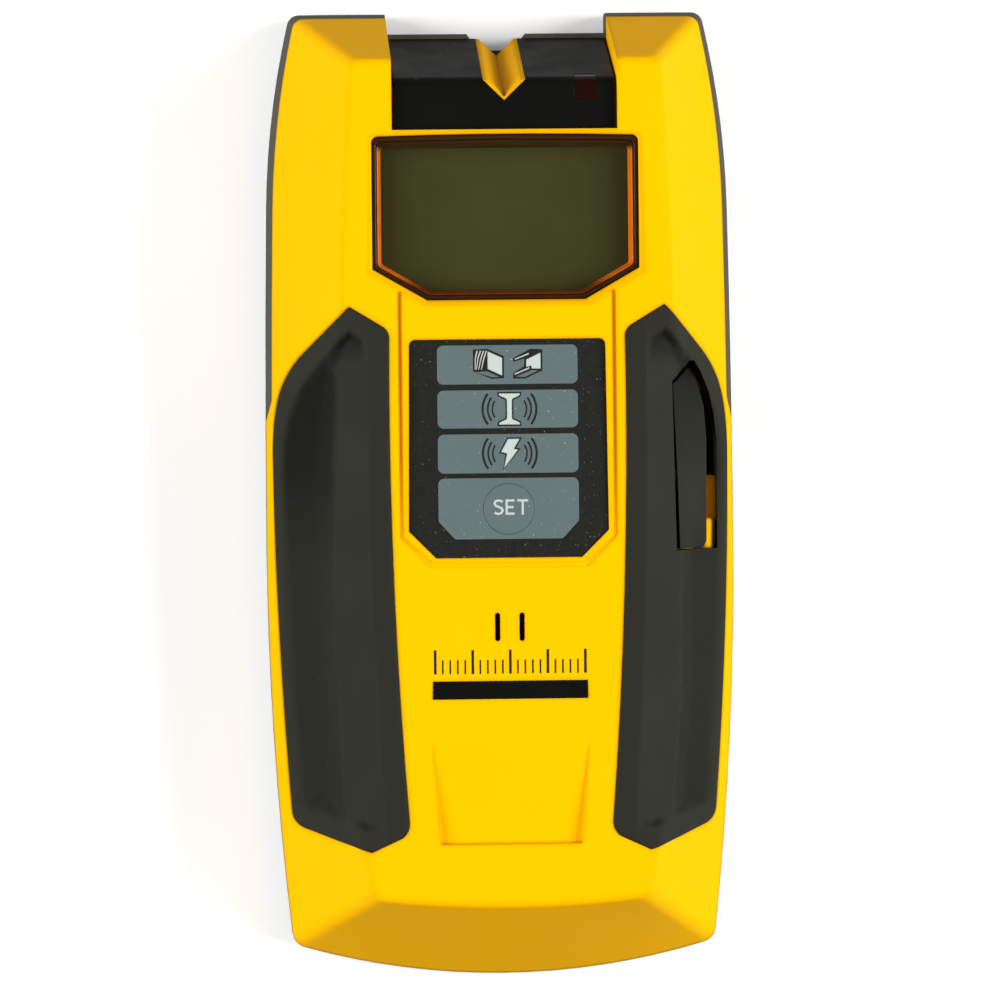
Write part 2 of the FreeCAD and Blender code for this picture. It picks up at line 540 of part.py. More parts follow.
def make_front_case():
    owner = body("FrontCaseBody")
    envelope(owner)
    part_line(owner, "part_gap / 2", True)
    # recess for the cover bar, down to its bedding face
    bed = [("bay_foot_y", "bar_top_z - bay_skin"), ("bar_brow_y - bay_skin + 0.7", "bar_top_z - bay_skin"),
           ("bar_toe_y - bay_skin", "bar_toe_z"), ("bar_toe_y - bay_skin", -1),
           ("head_y + 5", -1), ("head_y + 5", "top_z + 5"), ("bay_foot_y", "top_z + 5")]
    pocket(owner, polygon(owner, "YZ_Plane", 0, bed), "2 * bay_half", both=True)
    hollow_front(owner)
    # yellow vee that fills the cover bar's notch
    low, high = "bar_toe_z + 0.1", "bar_top_z"
    loft(owner, "Additive",
         polygon(owner, "XY_Plane", low, notch_loop(low, "notch_lip")[::-1]),
         polygon(owner, "XY_Plane", high, notch_loop(high, "notch_lip")[::-1]))
    loft(owner, "Subtractive",
         polygon(owner, "XY_Plane", "base_z", notch_loop("base_z")[::-1]),
         polygon(owner, "XY_Plane", "top_z + 2", notch_loop("top_z + 2")[::-1]))
    trim = [("bar_brow_y - 0.02", "bar_top_z + 0.01"), (slope_y("base_z", "0.02"), "base_z"),
            ("head_y + 5", "base_z"), ("head_y + 5", "bar_top_z + 0.01")]
    pocket(owner, polygon(owner, "YZ_Plane", 0, trim), "2 * bay_half - 0.2", both=True)
    # light hole behind the lamp window of the cover bar
    pocket(owner, polygon(owner, "XY_Plane", "top_z", rectangle(
        "window_left_x + 0.2", 61.8, "window_right_x - 0.2", 65.6)), "top_z - 25")
    # display window with its bevel
    pocket(owner, polygon(owner, "XY_Plane", "top_z", window_loop()), "top_z - 28")
    loft(owner, "Subtractive",
         polygon(owner, "XY_Plane", f"{crown('46')} - window_bevel", window_loop("0.01")),
         polygon(owner, "XY_Plane", f"{crown('46')} + window_bevel", window_loop("2 * window_bevel")))
    # keypad seat, key hole, lit windows and the groove round the keypad
    pocket(owner, polygon(owner, "XY_Plane", "top_z", keypad_loop("pad_play")), "top_z - pad_floor_z")
    pocket(owner, circles(owner, "XY_Plane", "top_z", ("0", "key_y", "key_radius + 0.25")), "8")
    rows = [rectangle("-1 * guide_half - 0.1", f"{y} - guide_tall - 0.1", "guide_half + 0.1",
                      f"{y} + guide_tall + 0.1") for y in guide_rows()]
    pocket(owner, polygon(owner, "XY_Plane", "top_z", *rows), "8")
    far, near = groove_loop("groove_far", "0"), groove_loop("groove_near", "(groove_far - groove_near)")
    loop = far + [(f"-1 * ({x})", y) for x, y in far[::-1]] + \
        [(f"-1 * ({x})", y) for x, y in near] + near[::-1]
    pocket(owner, polygon(owner, "XY_Plane", "top_z", loop[::-1]), f"top_z - ({crown('5')}) + groove_deep")
    # sound slots with round ends
    slots = [[("slot_x - slot_half", "slot_foot_y", "slot_half + 0.0001"),
              ("slot_x + slot_half", "slot_foot_y"),
              ("slot_x + slot_half", "slot_head_y", "slot_half + 0.0001"),
              ("slot_x - slot_half", "slot_head_y")]]
    slots += [mirrored(slots[0])]
    pocket(owner, polygon(owner, "XY_Plane", "top_z", *slots), "8")
    # seat of the name badge, and the thumb rest that slopes down towards the foot
    pocket(owner, polygon(owner, "XY_Plane", "top_z", rectangle(
        "-1 * badge_half", "badge_foot_y", "badge_half", "badge_head_y")),
        f"top_z - ({crown('badge_head_y')}) + badge_deep")
    loft(owner, "Subtractive",
         thumb_section(owner, "thumb_head_y", "thumb_head_half", crown("thumb_head_y")),
         thumb_section(owner, "thumb_foot_y", "thumb_foot_half", f"{crown('thumb_foot_y')} - thumb_rise"))
    # lever pit with the yellow post that the lever turns on
    pit = [("pit_x", "top_z + 5"), ("pit_x", "pit_floor_z"), ("pit_ledge_x", "pit_floor_z"),
           ("pit_ledge_x + 1", "pit_low_z"), ("pit_ledge_x + 1", "top_z + 5")]
    pocket(owner, polygon(owner, "XZ_Plane", "pit_foot_y", pit[::-1]), "pit_head_y - pit_foot_y")
    pad(owner, circles(owner, "XY_Plane", "pit_floor_z - 0.5",
                       ("lever_pivot_x", "lever_pivot_y", "post_radius")),
        "post_top_z - pit_floor_z + 0.5")
    pocket(owner, circles(owner, "YZ_Plane", "pit_x + 4",
                          ("power_y", "power_z", "plunger_radius + 0.3")), "8")
    # bosses for the case screws and studs for the main board
    pad(owner, circles(owner, "XY_Plane", "boss_split_z",
                       *[(x, y, "boss_radius") for x, y in case_screw_places()]),
        "boss_top_z - boss_split_z")
    studs = corners("post_x", "post_head_y", "post_foot_y")
    pad(owner, circles(owner, "XY_Plane", "board_z + board_thick",
                       *[(x, y, "stud_radius") for x, y in studs]),
        "ceiling_z - board_z - board_thick + 0.3")
    pocket(owner, circles(owner, "XY_Plane", "boss_split_z - 1",
                          *[(x, y, "shank_bore") for x, y in case_screw_places()]),
           "shank_long", reverse=True)
    pocket(owner, circles(owner, "XY_Plane", "board_z",
                          *[(x, y, "small_bore") for x, y in studs]), "small_long + 1", reverse=True)
    return owner


def grip_outline():
    """Plan outline of the right-hand grip."""
    return [
        ("grip_heel_x", "grip_heel_y", "grip_heel_arc"), ("grip_sole_x", "grip_sole_y"),
        ("grip_foot_x", "grip_foot_y"), ("grip_toe_x", "grip_toe_y", "grip_toe_arc"),
        ("grip_tail_x", "grip_tail_y", "grip_outer_arc"),
        ("grip_outer_x", "grip_outer_y", "grip_bow_arc"), ("grip_bow_x", "grip_bow_y", "grip_shoulder_arc"),
        ("grip_shoulder_x", "grip_shoulder_y"),
        ("grip_apex_x", "grip_apex_y"), ("grip_brow_x", "grip_brow_y", "grip_brow_arc"),
        ("grip_inner_x", "grip_inner_y", "-1 * grip_inner_arc"),
    ]


def bed_line(gap="0"):
    """The seat of a grip across the case, from the middle outwards."""
    return [
        ("10", f"bed_top_z + {gap}"), (f"bed_x + {gap}", f"bed_top_z + {gap}"),
        (f"bed_brow_x + {gap}", f"bed_brow_z + {gap}"), (f"bed_mid_x + {gap}", "bed_mid_z"),
        (f"bed_low_x + {gap}", f"bed_low_z + {gap}"),
        ("bed_rim_x", f"rim_low_z + {gap}"), ("50", f"rim_low_z + {gap}"),
    ]


def make_grip_bed(name, with_pit):
    """The space that a grip takes out of the front shell."""
    owner = body(name)
    pad(owner, polygon(owner, "XY_Plane", "part_low_z", grip_outline()), "top_z")
    under = bed_line() + [("50", "-5"), ("10", "-5")]
    pocket(owner, polygon(owner, "XZ_Plane", "-70", under[::-1]), "120")
    if with_pit:
        floor = rectangle("pit_x", "-5", "pit_outer_x + 0.4", "pit_low_z")
        pocket(owner, polygon(owner, "XZ_Plane", "pit_foot_y - 0.4", floor),
               "pit_head_y - pit_foot_y + 0.8")
    return owner


def grip_section(owner, y, shift, drop):
    """A section of the right-hand grip: inner band, ridge, finger channel and rim."""
    top = f"({crown(y)}) + grip_proud"
    outer = [
        (f"rim_x + 4 + {shift}", f"rim_low_z + 0.1"), (f"rim_x + 4 + {shift}", "rim_top_z - 1"),
        (f"rim_x + {shift}", "rim_top_z"), (f"channel_x + {shift} / 2", f"channel_z - {drop} / 2"),
        (f"ridge_x + {shift} / 2", f"ridge_z - {drop}"), (f"band_x + {shift} / 2", top), ("12", top),
    ]
    inner = bed_line("0.02")[1:-1]
    return polygon(owner, "XZ_Plane", y, [("12", "bed_top_z + 0.02")] + inner + outer)


def make_grip(name, with_pit):
    """A soft grip: ruled between five sections across, and kept inside its plan outline."""
    across = body(name + "Across")
    stations = [("32", "-2.4", "0.4"), ("16", "-0.9", "0.1"), ("-8", "0", "0"), ("-36", "-0.9", "0.7"),
                ("-60", "-2.2", "1.8")]
    loft(across, "Additive", *[grip_section(across, *station) for station in stations])
    plan = body(name + "Plan")
    pad(plan, polygon(plan, "XY_Plane", "part_low_z", grip_outline()), "top_z")
    if with_pit:
        hole = [
            ("lever_inner_foot_x - 0.9", "pit_foot_y + 0.1"), ("pit_outer_x", "pit_foot_y + 0.1"),
            ("pit_outer_x", "9"), ("pit_outer_x - 0.5", "13"), ("lever_side_x - 0.6", "20"),
            ("lever_head_x + 0.7", "lever_head_y + 0.2"), ("lever_head_x - 0.2", "lever_head_y + 0.4"),
            ("lever_inner_x - seam", "18.4"),
        ]
        pocket(plan, polygon(plan, "XY_Plane", "top_z + 10", hole))
        floor = rectangle("pit_x", "-5", "pit_outer_x + 0.5", "pit_low_z + 0.05")
        pocket(plan, polygon(plan, "XZ_Plane", "pit_foot_y - 0.5", floor),
               "pit_head_y - pit_foot_y + 1")
        pocket(plan, circles(plan, "YZ_Plane", "pit_x + 4",
                             ("power_y", "power_z", "plunger_radius + 0.3")), "12")
    return common(name, across, plan)


def common(label, base, tool):
    """What two solids share."""
    result = doc.addObject("Part::Common", label)
    result.Base = base
    result.Tool = tool
    return result


def mirror(label, source):
    """The left-hand twin of a right-hand piece."""
    twin = doc.addObject("Part::Mirroring", label)
    twin.Source = source
    twin.Base = Vector(0, 0, 0)
    twin.Normal = Vector(1, 0, 0)
    return twin


def cut(label, base, *tools):
    """The base with the tools taken out of it."""
    tool = tools[0]
    if len(tools) > 1:
        tool = doc.addObject("Part::MultiFuse", label + "Tools")
        tool.Shapes = list(tools)
    result = doc.addObject("Part::Cut", label)
    result.Base = base
    result.Tool = tool
    return result


front_body = make_front_case()
right_bed = make_grip_bed("RightBed", True)
left_bed = mirror("LeftBed", make_grip_bed("PlainBed", False))
node("front_case", cut("FrontCase", front_body, right_bed, left_bed))
node("right_grip", make_grip("RightGrip", True))
node("left_grip", mirror("LeftGrip", make_grip("PlainGrip", False)))


# ---------------------------------------------------------------- primitives
def box(name, x0, y0, z0, x1, y1, z1):
    """A block between two corners, each given as an expression."""
    item = doc.addObject("Part::Box", name)
    bind(item, Length=f"({x1}) - ({x0})", Width=f"({y1}) - ({y0})", Height=f"({z1}) - ({z0})",
         Placement__Base__x=x0, Placement__Base__y=y0, Placement__Base__z=z0)
    return item


def rod(name, x, y, z, radius, length, axis="z"):
    """A cylinder that starts at a point and runs along an axis."""
    item = doc.addObject("Part::Cylinder", name)
    turn = {"z": (Vector(0, 0, 1), 0), "x": (Vector(0, 1, 0), 90), "y": (Vector(1, 0, 0), -90)}[axis]
    item.Placement = FreeCAD.Placement(Vector(0, 0, 0), FreeCAD.Rotation(*turn))
    bind(item, Radius=radius, Height=length,
         Placement__Base__x=x, Placement__Base__y=y, Placement__Base__z=z)
    return item


def fuse(name, *items):
    """Solids joined into one."""
    result = doc.addObject("Part::MultiFuse", name)
    result.Shapes = list(items)
    return result


def group(name, *items):
    """Identical or small pieces kept as separate solids of one sub-part."""
    result = doc.addObject("Part::Compound", name)
    result.Links = list(items)
    return result


def minus(text):
    return f"-1 * ({text})"


# ---------------------------------------------------------------- back shell
def make_back_case():
    owner = body("BackCaseBody")
    envelope(owner)
    part_line(owner, "-1 * part_gap / 2", False)
    bay = [("-1 * bay_half", "head_y + 5"), ("-1 * bay_half", "bay_head_y"),
           ("-1 * mouth_half", "bay_head_y"), ("-1 * notch_half", "mouth_y"),
           ("notch_half", "mouth_y"), ("mouth_half", "bay_head_y"), ("bay_half", "bay_head_y"),
           ("bay_half", "head_y + 5")]
    pocket(owner, polygon(owner, "XY_Plane", "top_z", bay))
    loop = [
        ("tray_foot_x", "tray_foot_y", "tray_foot_arc"), ("tray_heel_x", "tray_heel_y", "tray_flank_arc"),
        ("tray_waist_x", "tray_waist_y", "tray_brow_arc"), ("tray_brow_x", "tray_brow_y"),
        ("tray_head_x", "tray_head_y"), ("-1 * tray_head_x", "tray_head_y"),
        ("-1 * tray_brow_x", "tray_brow_y", "tray_brow_arc"),
        ("-1 * tray_waist_x", "tray_waist_y", "tray_flank_arc"),
        ("-1 * tray_heel_x", "tray_heel_y", "tray_foot_arc"),
        ("-1 * tray_foot_x", "tray_foot_y", "tray_end_arc"),
    ]
    pocket(owner, polygon(owner, "XY_Plane", "floor_z", loop), "20", reverse=True)
    # battery cradle, open to the back
    pad(owner, polygon(owner, "XY_Plane", "base_z + 0.5", rectangle(
        "-1 * cradle_out_half", "cradle_foot_y - cradle_foot_end", "cradle_out_half",
        "cradle_head_y + cradle_end")), "cradle_top_z - base_z - 0.5")
    pocket(owner, polygon(owner, "XY_Plane", "-1", rectangle(
        "-1 * cradle_half", "cradle_foot_y", "cradle_half", "cradle_head_y")),
        "cradle_roof_z + 1", reverse=True)
    # recess for the door, and the space of its latch behind the cradle
    gap = "door_play"
    pocket(owner, polygon(owner, "XY_Plane", "-1", rectangle(
        f"-1 * (door_half + {gap})", f"door_foot_y - {gap}", f"door_half + {gap}", "door_head_y")),
        "base_z + door_thick + 1.15", reverse=True)
    pocket(owner, polygon(owner, "XY_Plane", "-1", rectangle(
        "-1 * (knuckle_half + pin_long)", "door_head_y - 3", "knuckle_half + pin_long",
        "hinge_y + hinge_radius + 0.35")),
        "hinge_z + hinge_radius + 1.35", reverse=True)
    # blocks that carry the door's hinge pins
    for side in ("", "-1 * "):
        far, near = f"{side}(knuckle_half + pin_long + 1.6)", f"{side}(knuckle_half + 0.25)"
        pad(owner, polygon(owner, "XY_Plane", "base_z + 0.4", rectangle(
            near, "hinge_y - 1.9", far, "hinge_y + 3") if side == "" else rectangle(
            far, "hinge_y - 1.9", near, "hinge_y + 3")), "5")
    pocket(owner, circles(owner, "YZ_Plane", 0, ("hinge_y", "hinge_z", "pin_radius + pin_play")),
           "2 * (knuckle_half + pin_long + 0.1)", both=True)
    # screw bosses, posts of the sensor board
    pad(owner, circles(owner, "XY_Plane", "base_z + 1",
                       *[(x, y, "boss_radius") for x, y in case_screw_places()]),
        "boss_split_z - base_z - 1 - part_gap")
    pocket(owner, circles(owner, "XY_Plane", -1,
                          *[(x, y, "cap_bore") for x, y in case_screw_places()]),
           "cap_z + cap_tall + 1", reverse=True)
    pocket(owner, circles(owner, "XY_Plane", -1,
                          *[(x, y, "shank_bore") for x, y in case_screw_places()]),
           "boss_split_z + 2", reverse=True)
    posts = corners("sense_post_x", "sense_post_head_y", "sense_post_foot_y")
    pad(owner, circles(owner, "XY_Plane", "floor_z - 0.5", *[(x, y, "stud_radius") for x, y in posts]),
        "sense_z - floor_z + 0.5")
    pocket(owner, circles(owner, "XY_Plane", "base_z + 0.6", *[(x, y, "small_bore") for x, y in posts]),
           "10", reverse=True)
    # slot for the battery leads in the head wall of the cradle
    pocket(owner, polygon(owner, "YZ_Plane", 0, rectangle(
        "cradle_head_y - 1", "lead_z - 1.6", "cradle_head_y + cradle_end + 1", "lead_z + 1.6")),
        "2 * (lead_x + 1.6)", both=True)
    return owner


# ---------------------------------------------------------------- head: cover bar and lamp window
def bar_section(owner):
    return polygon(owner, "YZ_Plane", 0, [
        ("bar_foot_y", "bar_top_z - bar_skin"), ("bar_brow_y - bar_skin + 0.62", "bar_top_z - bar_skin"),
        ("bar_toe_y - bar_skin", "bar_toe_z"), ("bar_toe_y", "bar_toe_z"),
        ("bar_brow_y", "bar_top_z"), ("bar_foot_y", "bar_top_z"),
    ])


def brow_edge(edge):
    """The long outer edge of the cover bar."""
    middle = edge.BoundBox.Center
    return edge.BoundBox.XLength > 3 and middle.z > number("bar_top_z") - 0.1 \
        and abs(middle.y - number("bar_brow_y")) < 0.1


def lamp_hole(grow="0"):
    return rectangle(f"window_left_x - {grow}", f"window_low_y - {grow}",
                     f"window_right_x + {grow}", f"window_high_y + {grow}")


def make_bar():
    owner = body("TopBar")
    pad(owner, bar_section(owner), "2 * bar_half", both=True)
    fillet(owner, "bar_round", brow_edge)
    low, high = "bar_toe_z - 2", "bar_top_z + 2"
    grow = "(notch_lip + 0.06)"
    loft(owner, "Subtractive",
         polygon(owner, "XY_Plane", low, notch_loop(low, grow)[::-1]),
         polygon(owner, "XY_Plane", high, notch_loop(high, grow)[::-1]))
    pocket(owner, polygon(owner, "XY_Plane", "top_z", lamp_hole("0.06")))
    return owner


def make_lamp_window():
    shape = body("LampWindowShape")
    pad(shape, bar_section(shape), "2 * bar_half", both=True)
    fillet(shape, "bar_round", brow_edge)
    plan = body("LampWindowPlan")
    pad(plan, polygon(plan, "XY_Plane", 0, lamp_hole()), "top_z")
    return common("LampWindow", shape, plan)


# ---------------------------------------------------------------- display
def make_lens():
    owner = body("DisplayLens")
    pad(owner, polygon(owner, "XY_Plane", "lens_low_z", window_loop("(-1 * lens_play)")),
        "lens_top_z - lens_low_z")
    flange = rectangle("-1 * (window_half + lens_flange)", "window_foot_y - lens_flange",
                       "window_half + lens_flange", "window_head_y - 2")
    pad(owner, polygon(owner, "XY_Plane", "lens_low_z", flange), "lens_flange_z - lens_low_z - 0.05")
    return owner


# ---------------------------------------------------------------- keypad
def make_overlay():
    owner = body("MembraneOverlay")
    pad(owner, polygon(owner, "XY_Plane", "pad_floor_z + 0.02", keypad_loop()), "overlay_thick")
    pocket(owner, circles(owner, "XY_Plane", "top_z", ("0", "key_y", "key_radius + key_play")))
    return owner


def make_key():
    top = "pad_floor_z + overlay_thick + 0.05"
    cap = rod("KeyCap", "0", "key_y", "key_low_z", "key_radius", f"{top} - key_low_z")
    stem = rod("KeyStem", "0", "key_y", "plunger_top_z + contact_gap", "stem_radius",
               "key_low_z - plunger_top_z - contact_gap + 0.2")
    return fuse("SelectKey", cap, stem)


def make_light_guide():
    plate = box("GuidePlate", "-1 * guide_half - 1", f"{guide_rows()[2]} - 3.4", "guide_low_z",
                "guide_half + 1", "guide_first_y + 3.4", "guide_plate_z")
    towers = [box(f"GuideTower{i}", "-1 * guide_half", f"{y} - guide_tall", "guide_plate_z - 0.1",
                  "guide_half", f"{y} + guide_tall", "pad_floor_z - 0.03")
              for i, y in enumerate(guide_rows(), 1)]
    return fuse("LightGuide", plate, *towers)


# ---------------------------------------------------------------- power lever
def make_lever():
    owner = body("PowerLever")
    plan = [
        ("lever_inner_foot_x", "lever_foot_y"), ("lever_side_x - 1.2", "lever_foot_y"),
        ("lever_side_x", "lever_foot_y + 1.3"), ("lever_side_x", "8"), ("lever_side_x - 0.4", "14"),
        ("lever_head_x + 0.5", "lever_head_y - 0.9"), ("lever_head_x", "lever_head_y"),
        ("lever_inner_x", "18.2"),
    ]
    pad(owner, polygon(owner, "XY_Plane", "lever_low_z", plan), "lever_top_z - lever_low_z")
    slope = [("lever_inner_x - 3", "top_z + 5"), ("lever_inner_x - 3", "lever_top_z + 0.2"),
             ("lever_inner_x + 1", "lever_top_z - 0.3"), ("lever_side_x + 0.2", "lever_edge_z + 1.2"),
             ("lever_side_x + 5", "lever_edge_z"), ("lever_side_x + 5", "top_z + 5")]
    pocket(owner, polygon(owner, "XZ_Plane", "lever_foot_y - 5", slope[::-1]), "50")
    hollow = rectangle("lever_inner_foot_x + lever_wall", "lever_foot_y + lever_wall",
                       "lever_side_x - 1.2", "lever_pivot_y - post_radius - 2.2")
    pocket(owner, polygon(owner, "XY_Plane", "lever_low_z - 1", hollow),
           "hollow_top_z - lever_low_z - 3", reverse=True)
    pocket(owner, circles(owner, "XY_Plane", "lever_low_z - 1",
                          ("lever_pivot_x", "lever_pivot_y", "post_radius + post_play")),
           "post_top_z - lever_low_z + 1.3", reverse=True)
    return owner


# ---------------------------------------------------------------- boards and what is on them
def make_main_board():
    plate = box("MainPlate", "-1 * board_half", "board_foot_y", "board_z", "board_half",
                "board_head_y", "board_z + board_thick")
    holes = [rod(f"MainHole{i}", x, y, "board_z - 1", "small_bore + 0.1", "board_thick + 2")
             for i, (x, y) in enumerate(corners("post_x", "post_head_y", "post_foot_y"), 1)]
    return cut("MainBoard", plate, *holes)


def make_sensor_board():
    wide = box("SenseWide", "-1 * sense_half", "sense_foot_y", "sense_z", "sense_half",
               "sense_neck_y", "sense_z + sense_thick")
    neck = box("SenseNeck", "-1 * sense_neck", "sense_neck_y - 1", "sense_z", "sense_neck",
               "sense_head_y", "sense_z + sense_thick")
    plate = fuse("SensePlate", wide, neck)
    holes = [rod(f"SenseHole{i}", x, y, "sense_z - 1", "small_bore + 0.1", "sense_thick + 2")
             for i, (x, y) in enumerate(corners("sense_post_x", "sense_post_head_y",
                                                "sense_post_foot_y"), 1)]
    return cut("SensorBoard", plate, *holes)


def make_coil():
    top = "sense_z + sense_thick"
    outer = rod("CoilOuter", "0", "coil_y", top, "coil_radius + coil_wide", "coil_tall")
    inner = rod("CoilInner", "0", "coil_y", f"{top} - 1", "coil_radius", "coil_tall + 2")
    return cut("MetalCoil", outer, inner)


def make_sense_plates():
    """Three copper electrodes side by side under the sensor board."""
    low = "sense_z - plate_thick"
    near = "plate_inner + plate_gap"
    spans = [("-1 * plate_outer", minus(near)), ("-1 * plate_inner", "plate_inner"),
             (near, "plate_outer")]
    return group("SensePlates", *[box(f"Electrode{i}", x0, "plate_foot_y", low, x1, "plate_head_y",
                                      "sense_z")
                                  for i, (x0, x1) in enumerate(spans, 1)])


def on_board(name, x, y, half_x, half_y, tall):
    """A component standing on the main board."""
    top = "board_z + board_thick"
    return box(name, f"{x} - {half_x}", f"{y} - {half_y}", top, f"{x} + {half_x}", f"{y} + {half_y}",
               f"{top} + {tall}")


def under_board(name, x, y, half_x, half_y, tall):
    """A component hanging from the main board."""
    return box(name, f"{x} - {half_x}", f"{y} - {half_y}", f"board_z - {tall}", f"{x} + {half_x}",
               f"{y} + {half_y}", "board_z")


def make_board_components():
    """Supply coil, can capacitors and small chips, soldered to the main board."""
    chips = [(-13, 8), (-13, 22), (12, 30), (-6, 44), (8, 50), (14, 12)]
    small = [under_board(f"Chip{i}", x, y, "part_half", "part_half * 1.4", "chip_tall")
             for i, (x, y) in enumerate(chips, 1)]
    cans = [rod(f"Can{i}", x, -38, "board_z + board_thick", "can_radius", "can_tall")
            for i, x in enumerate((-9, -2), 1)]
    return group("BoardComponents", *small, *cans, on_board("Choke", 8, -38, 3, 3, 2.8))


def make_mode_leds():
    return group("ModeLeds", *[on_board(f"ModeLed{i}", 0, f"({y})", "led_half", "led_half", "led_tall")
                               for i, y in enumerate(guide_rows(), 1)])


def make_select_switch():
    case_part = on_board("SelectBase", 0, "key_y", "tact_half", "tact_half", "tact_tall")
    bore = rod("SelectBore", "0", "key_y", "board_z + board_thick + 1", "plunger_radius + 0.7", "10")
    return cut("SelectSwitch", case_part, bore)


def make_power_switch():
    base = on_board("PowerBase", "power_x", "power_y", "tact_half", "tact_half", "tact_tall")
    bore = rod("PowerBore", "power_x", "power_y", "power_z", "plunger_radius + 0.06", "10", "x")
    return cut("PowerSwitch", base, bore)


# ---------------------------------------------------------------- battery
def make_battery():
    middle = "cell_z + cell_tall / 2"
    can = box("CellCan", "-1 * cell_half", "cell_foot_y", "cell_z", "cell_half", "cell_head_y",
              "cell_z + cell_tall")
    studs = [rod(f"CellStud{i}", x, "cell_head_y - 0.1", middle, "terminal_radius",
                 "terminal_tall + 0.1", "y")
             for i, x in enumerate(("stud_x", "-1 * stud_x"), 1)]
    return fuse("Battery", can, *studs)


def make_snap():
    middle = "cell_z + cell_tall / 2"
    low = "cell_head_y + 0.15"
    shell = box("SnapShell", "-1 * snap_half", low, "snap_low_z", "snap_half",
                f"{low} + terminal_tall + 1.4", "snap_high_z")
    holes = [rod(f"SnapHole{i}", x, "cell_head_y - 1", middle, "terminal_radius + snap_play",
                 "terminal_tall + 1.1", "y")
             for i, x in enumerate(("stud_x", "-1 * stud_x"), 1)]
    return cut("BatterySnap", shell, *holes)


def make_lead(name, x):
    """A lead from the snap through the cradle's head wall and up to the main board."""
    owner = body(name)
    start, rise = "cell_head_y + terminal_tall + 1.55", "lead_y"
    spine = new_sketch(owner, "YZ_Plane", x)
    bend = number("lead_bend")
    points = [Vector(number(start), number("lead_z"), 0), Vector(number(rise) - bend, number("lead_z"), 0),
              Vector(number(rise), number("lead_z") + bend, 0), Vector(number(rise), number("board_z"), 0)]
    spine.addGeometry(Part.LineSegment(points[0], points[1]), False)
    centre = Vector(number(rise) - bend, number("lead_z") + bend, 0)
    circle = Part.Circle(centre, Vector(0, 0, 1), bend)
    spine.addGeometry(Part.ArcOfCircle(circle, -math.pi / 2, 0), False)
    spine.addGeometry(Part.LineSegment(points[2], points[3]), False)
    spine.addConstraint(Sketcher.Constraint("Tangent", 0, END, 1, START))
    spine.addConstraint(Sketcher.Constraint("Tangent", 1, END, 2, START))
    index = spine.addConstraint(Sketcher.Constraint("Radius", 1, bend))
    spine.setExpression(f"Constraints[{index}]", cell("lead_bend"))
    spine.addConstraint(Sketcher.Constraint("Horizontal", 0))
    fix(spine, 0, START, start, "lead_z")
    fix(spine, 2, END, rise, "board_z")
    section = circles(owner, "XZ_Plane", start, (x, "lead_z", "lead_radius"))
    pipe = owner.newObject("PartDesign::AdditivePipe", "Wire")
    pipe.Profile = section
    pipe.Spine = spine
    settle(owner, pipe, 0.0)
    return owner


# ---------------------------------------------------------------- battery door
def make_door():
    top = "base_z + door_thick"
    plate = box("DoorPlate", "-1 * door_half", "door_foot_y", "base_z", "door_half",
                "hinge_y - door_setback", top)
    knuckle = rod("DoorKnuckle", "-1 * knuckle_half", "hinge_y", "hinge_z", "hinge_radius",
                  "2 * knuckle_half", "x")
    web = box("DoorWeb", "-1 * knuckle_half", "hinge_y - door_setback - 0.1",
              "hinge_z - hinge_radius + 0.2", "knuckle_half", "hinge_y", top)
    pins = rod("DoorPins", "-1 * (knuckle_half + pin_long)", "hinge_y", "hinge_z", "pin_radius",
               "2 * (knuckle_half + pin_long)", "x")
    near, far = "latch_half + 0.2", "latch_half + 0.2 + ear_thick"
    ears = [box(f"LatchEar{i}", x0, "latch_y - 0.3", f"{top} - 0.1", x1, "latch_y + latch_wall + 1.4",
                "ear_top_z")
            for i, (x0, x1) in enumerate(((near, far), (minus(far), minus(near))), 1)]
    solid = fuse("DoorSolid", plate, knuckle, web, pins, *ears)
    slot = box("LatchSlot", minus(near), "door_foot_y - 1", "base_z - 1", near,
               "latch_y + latch_wall + 1.6", f"{top} + 0.2")
    bore = rod("LatchBore", f"-1 * ({far}) - 1", "latch_y + latch_wall / 2", "latch_z",
               "latch_pin + latch_play", f"2 * ({far}) + 2", "x")
    grooves = [box(f"DoorGroove{i}", "-7", f"{y} - 0.35", "base_z - 1", "7", f"{y} + 0.35",
                   "base_z + 0.4")
               for i, y in enumerate((-70, -68.4, -66.8, -65.2), 1)]
    return cut("BatteryDoor", solid, slot, bore, *grooves)


def make_latch():
    """The outer arm of the door's latch, which swings about the top of its bend."""
    arm = box("LatchArm", "-1 * latch_half", "latch_y", "base_z + 0.1", "latch_half",
              "latch_y + latch_wall", "latch_z + 0.9")
    tab = box("LatchTab", "-1 * latch_half", "latch_tip_y", "base_z + 0.1", "latch_half",
              "latch_y + 0.1", "base_z + 1.5")
    hook = box("LatchHook", "-1 * latch_half", "hook_tip_y", "hook_z", "latch_half", "latch_y + 0.1",
               "hook_z + hook_tall")
    root = rod("LatchRoot", "-1 * (latch_half + 0.1 + ear_thick)", "latch_y + latch_wall / 2",
               "latch_z", "latch_pin", "2 * (latch_half + 0.1 + ear_thick)", "x")
    return fuse("DoorLatch", arm, tab, hook, root)


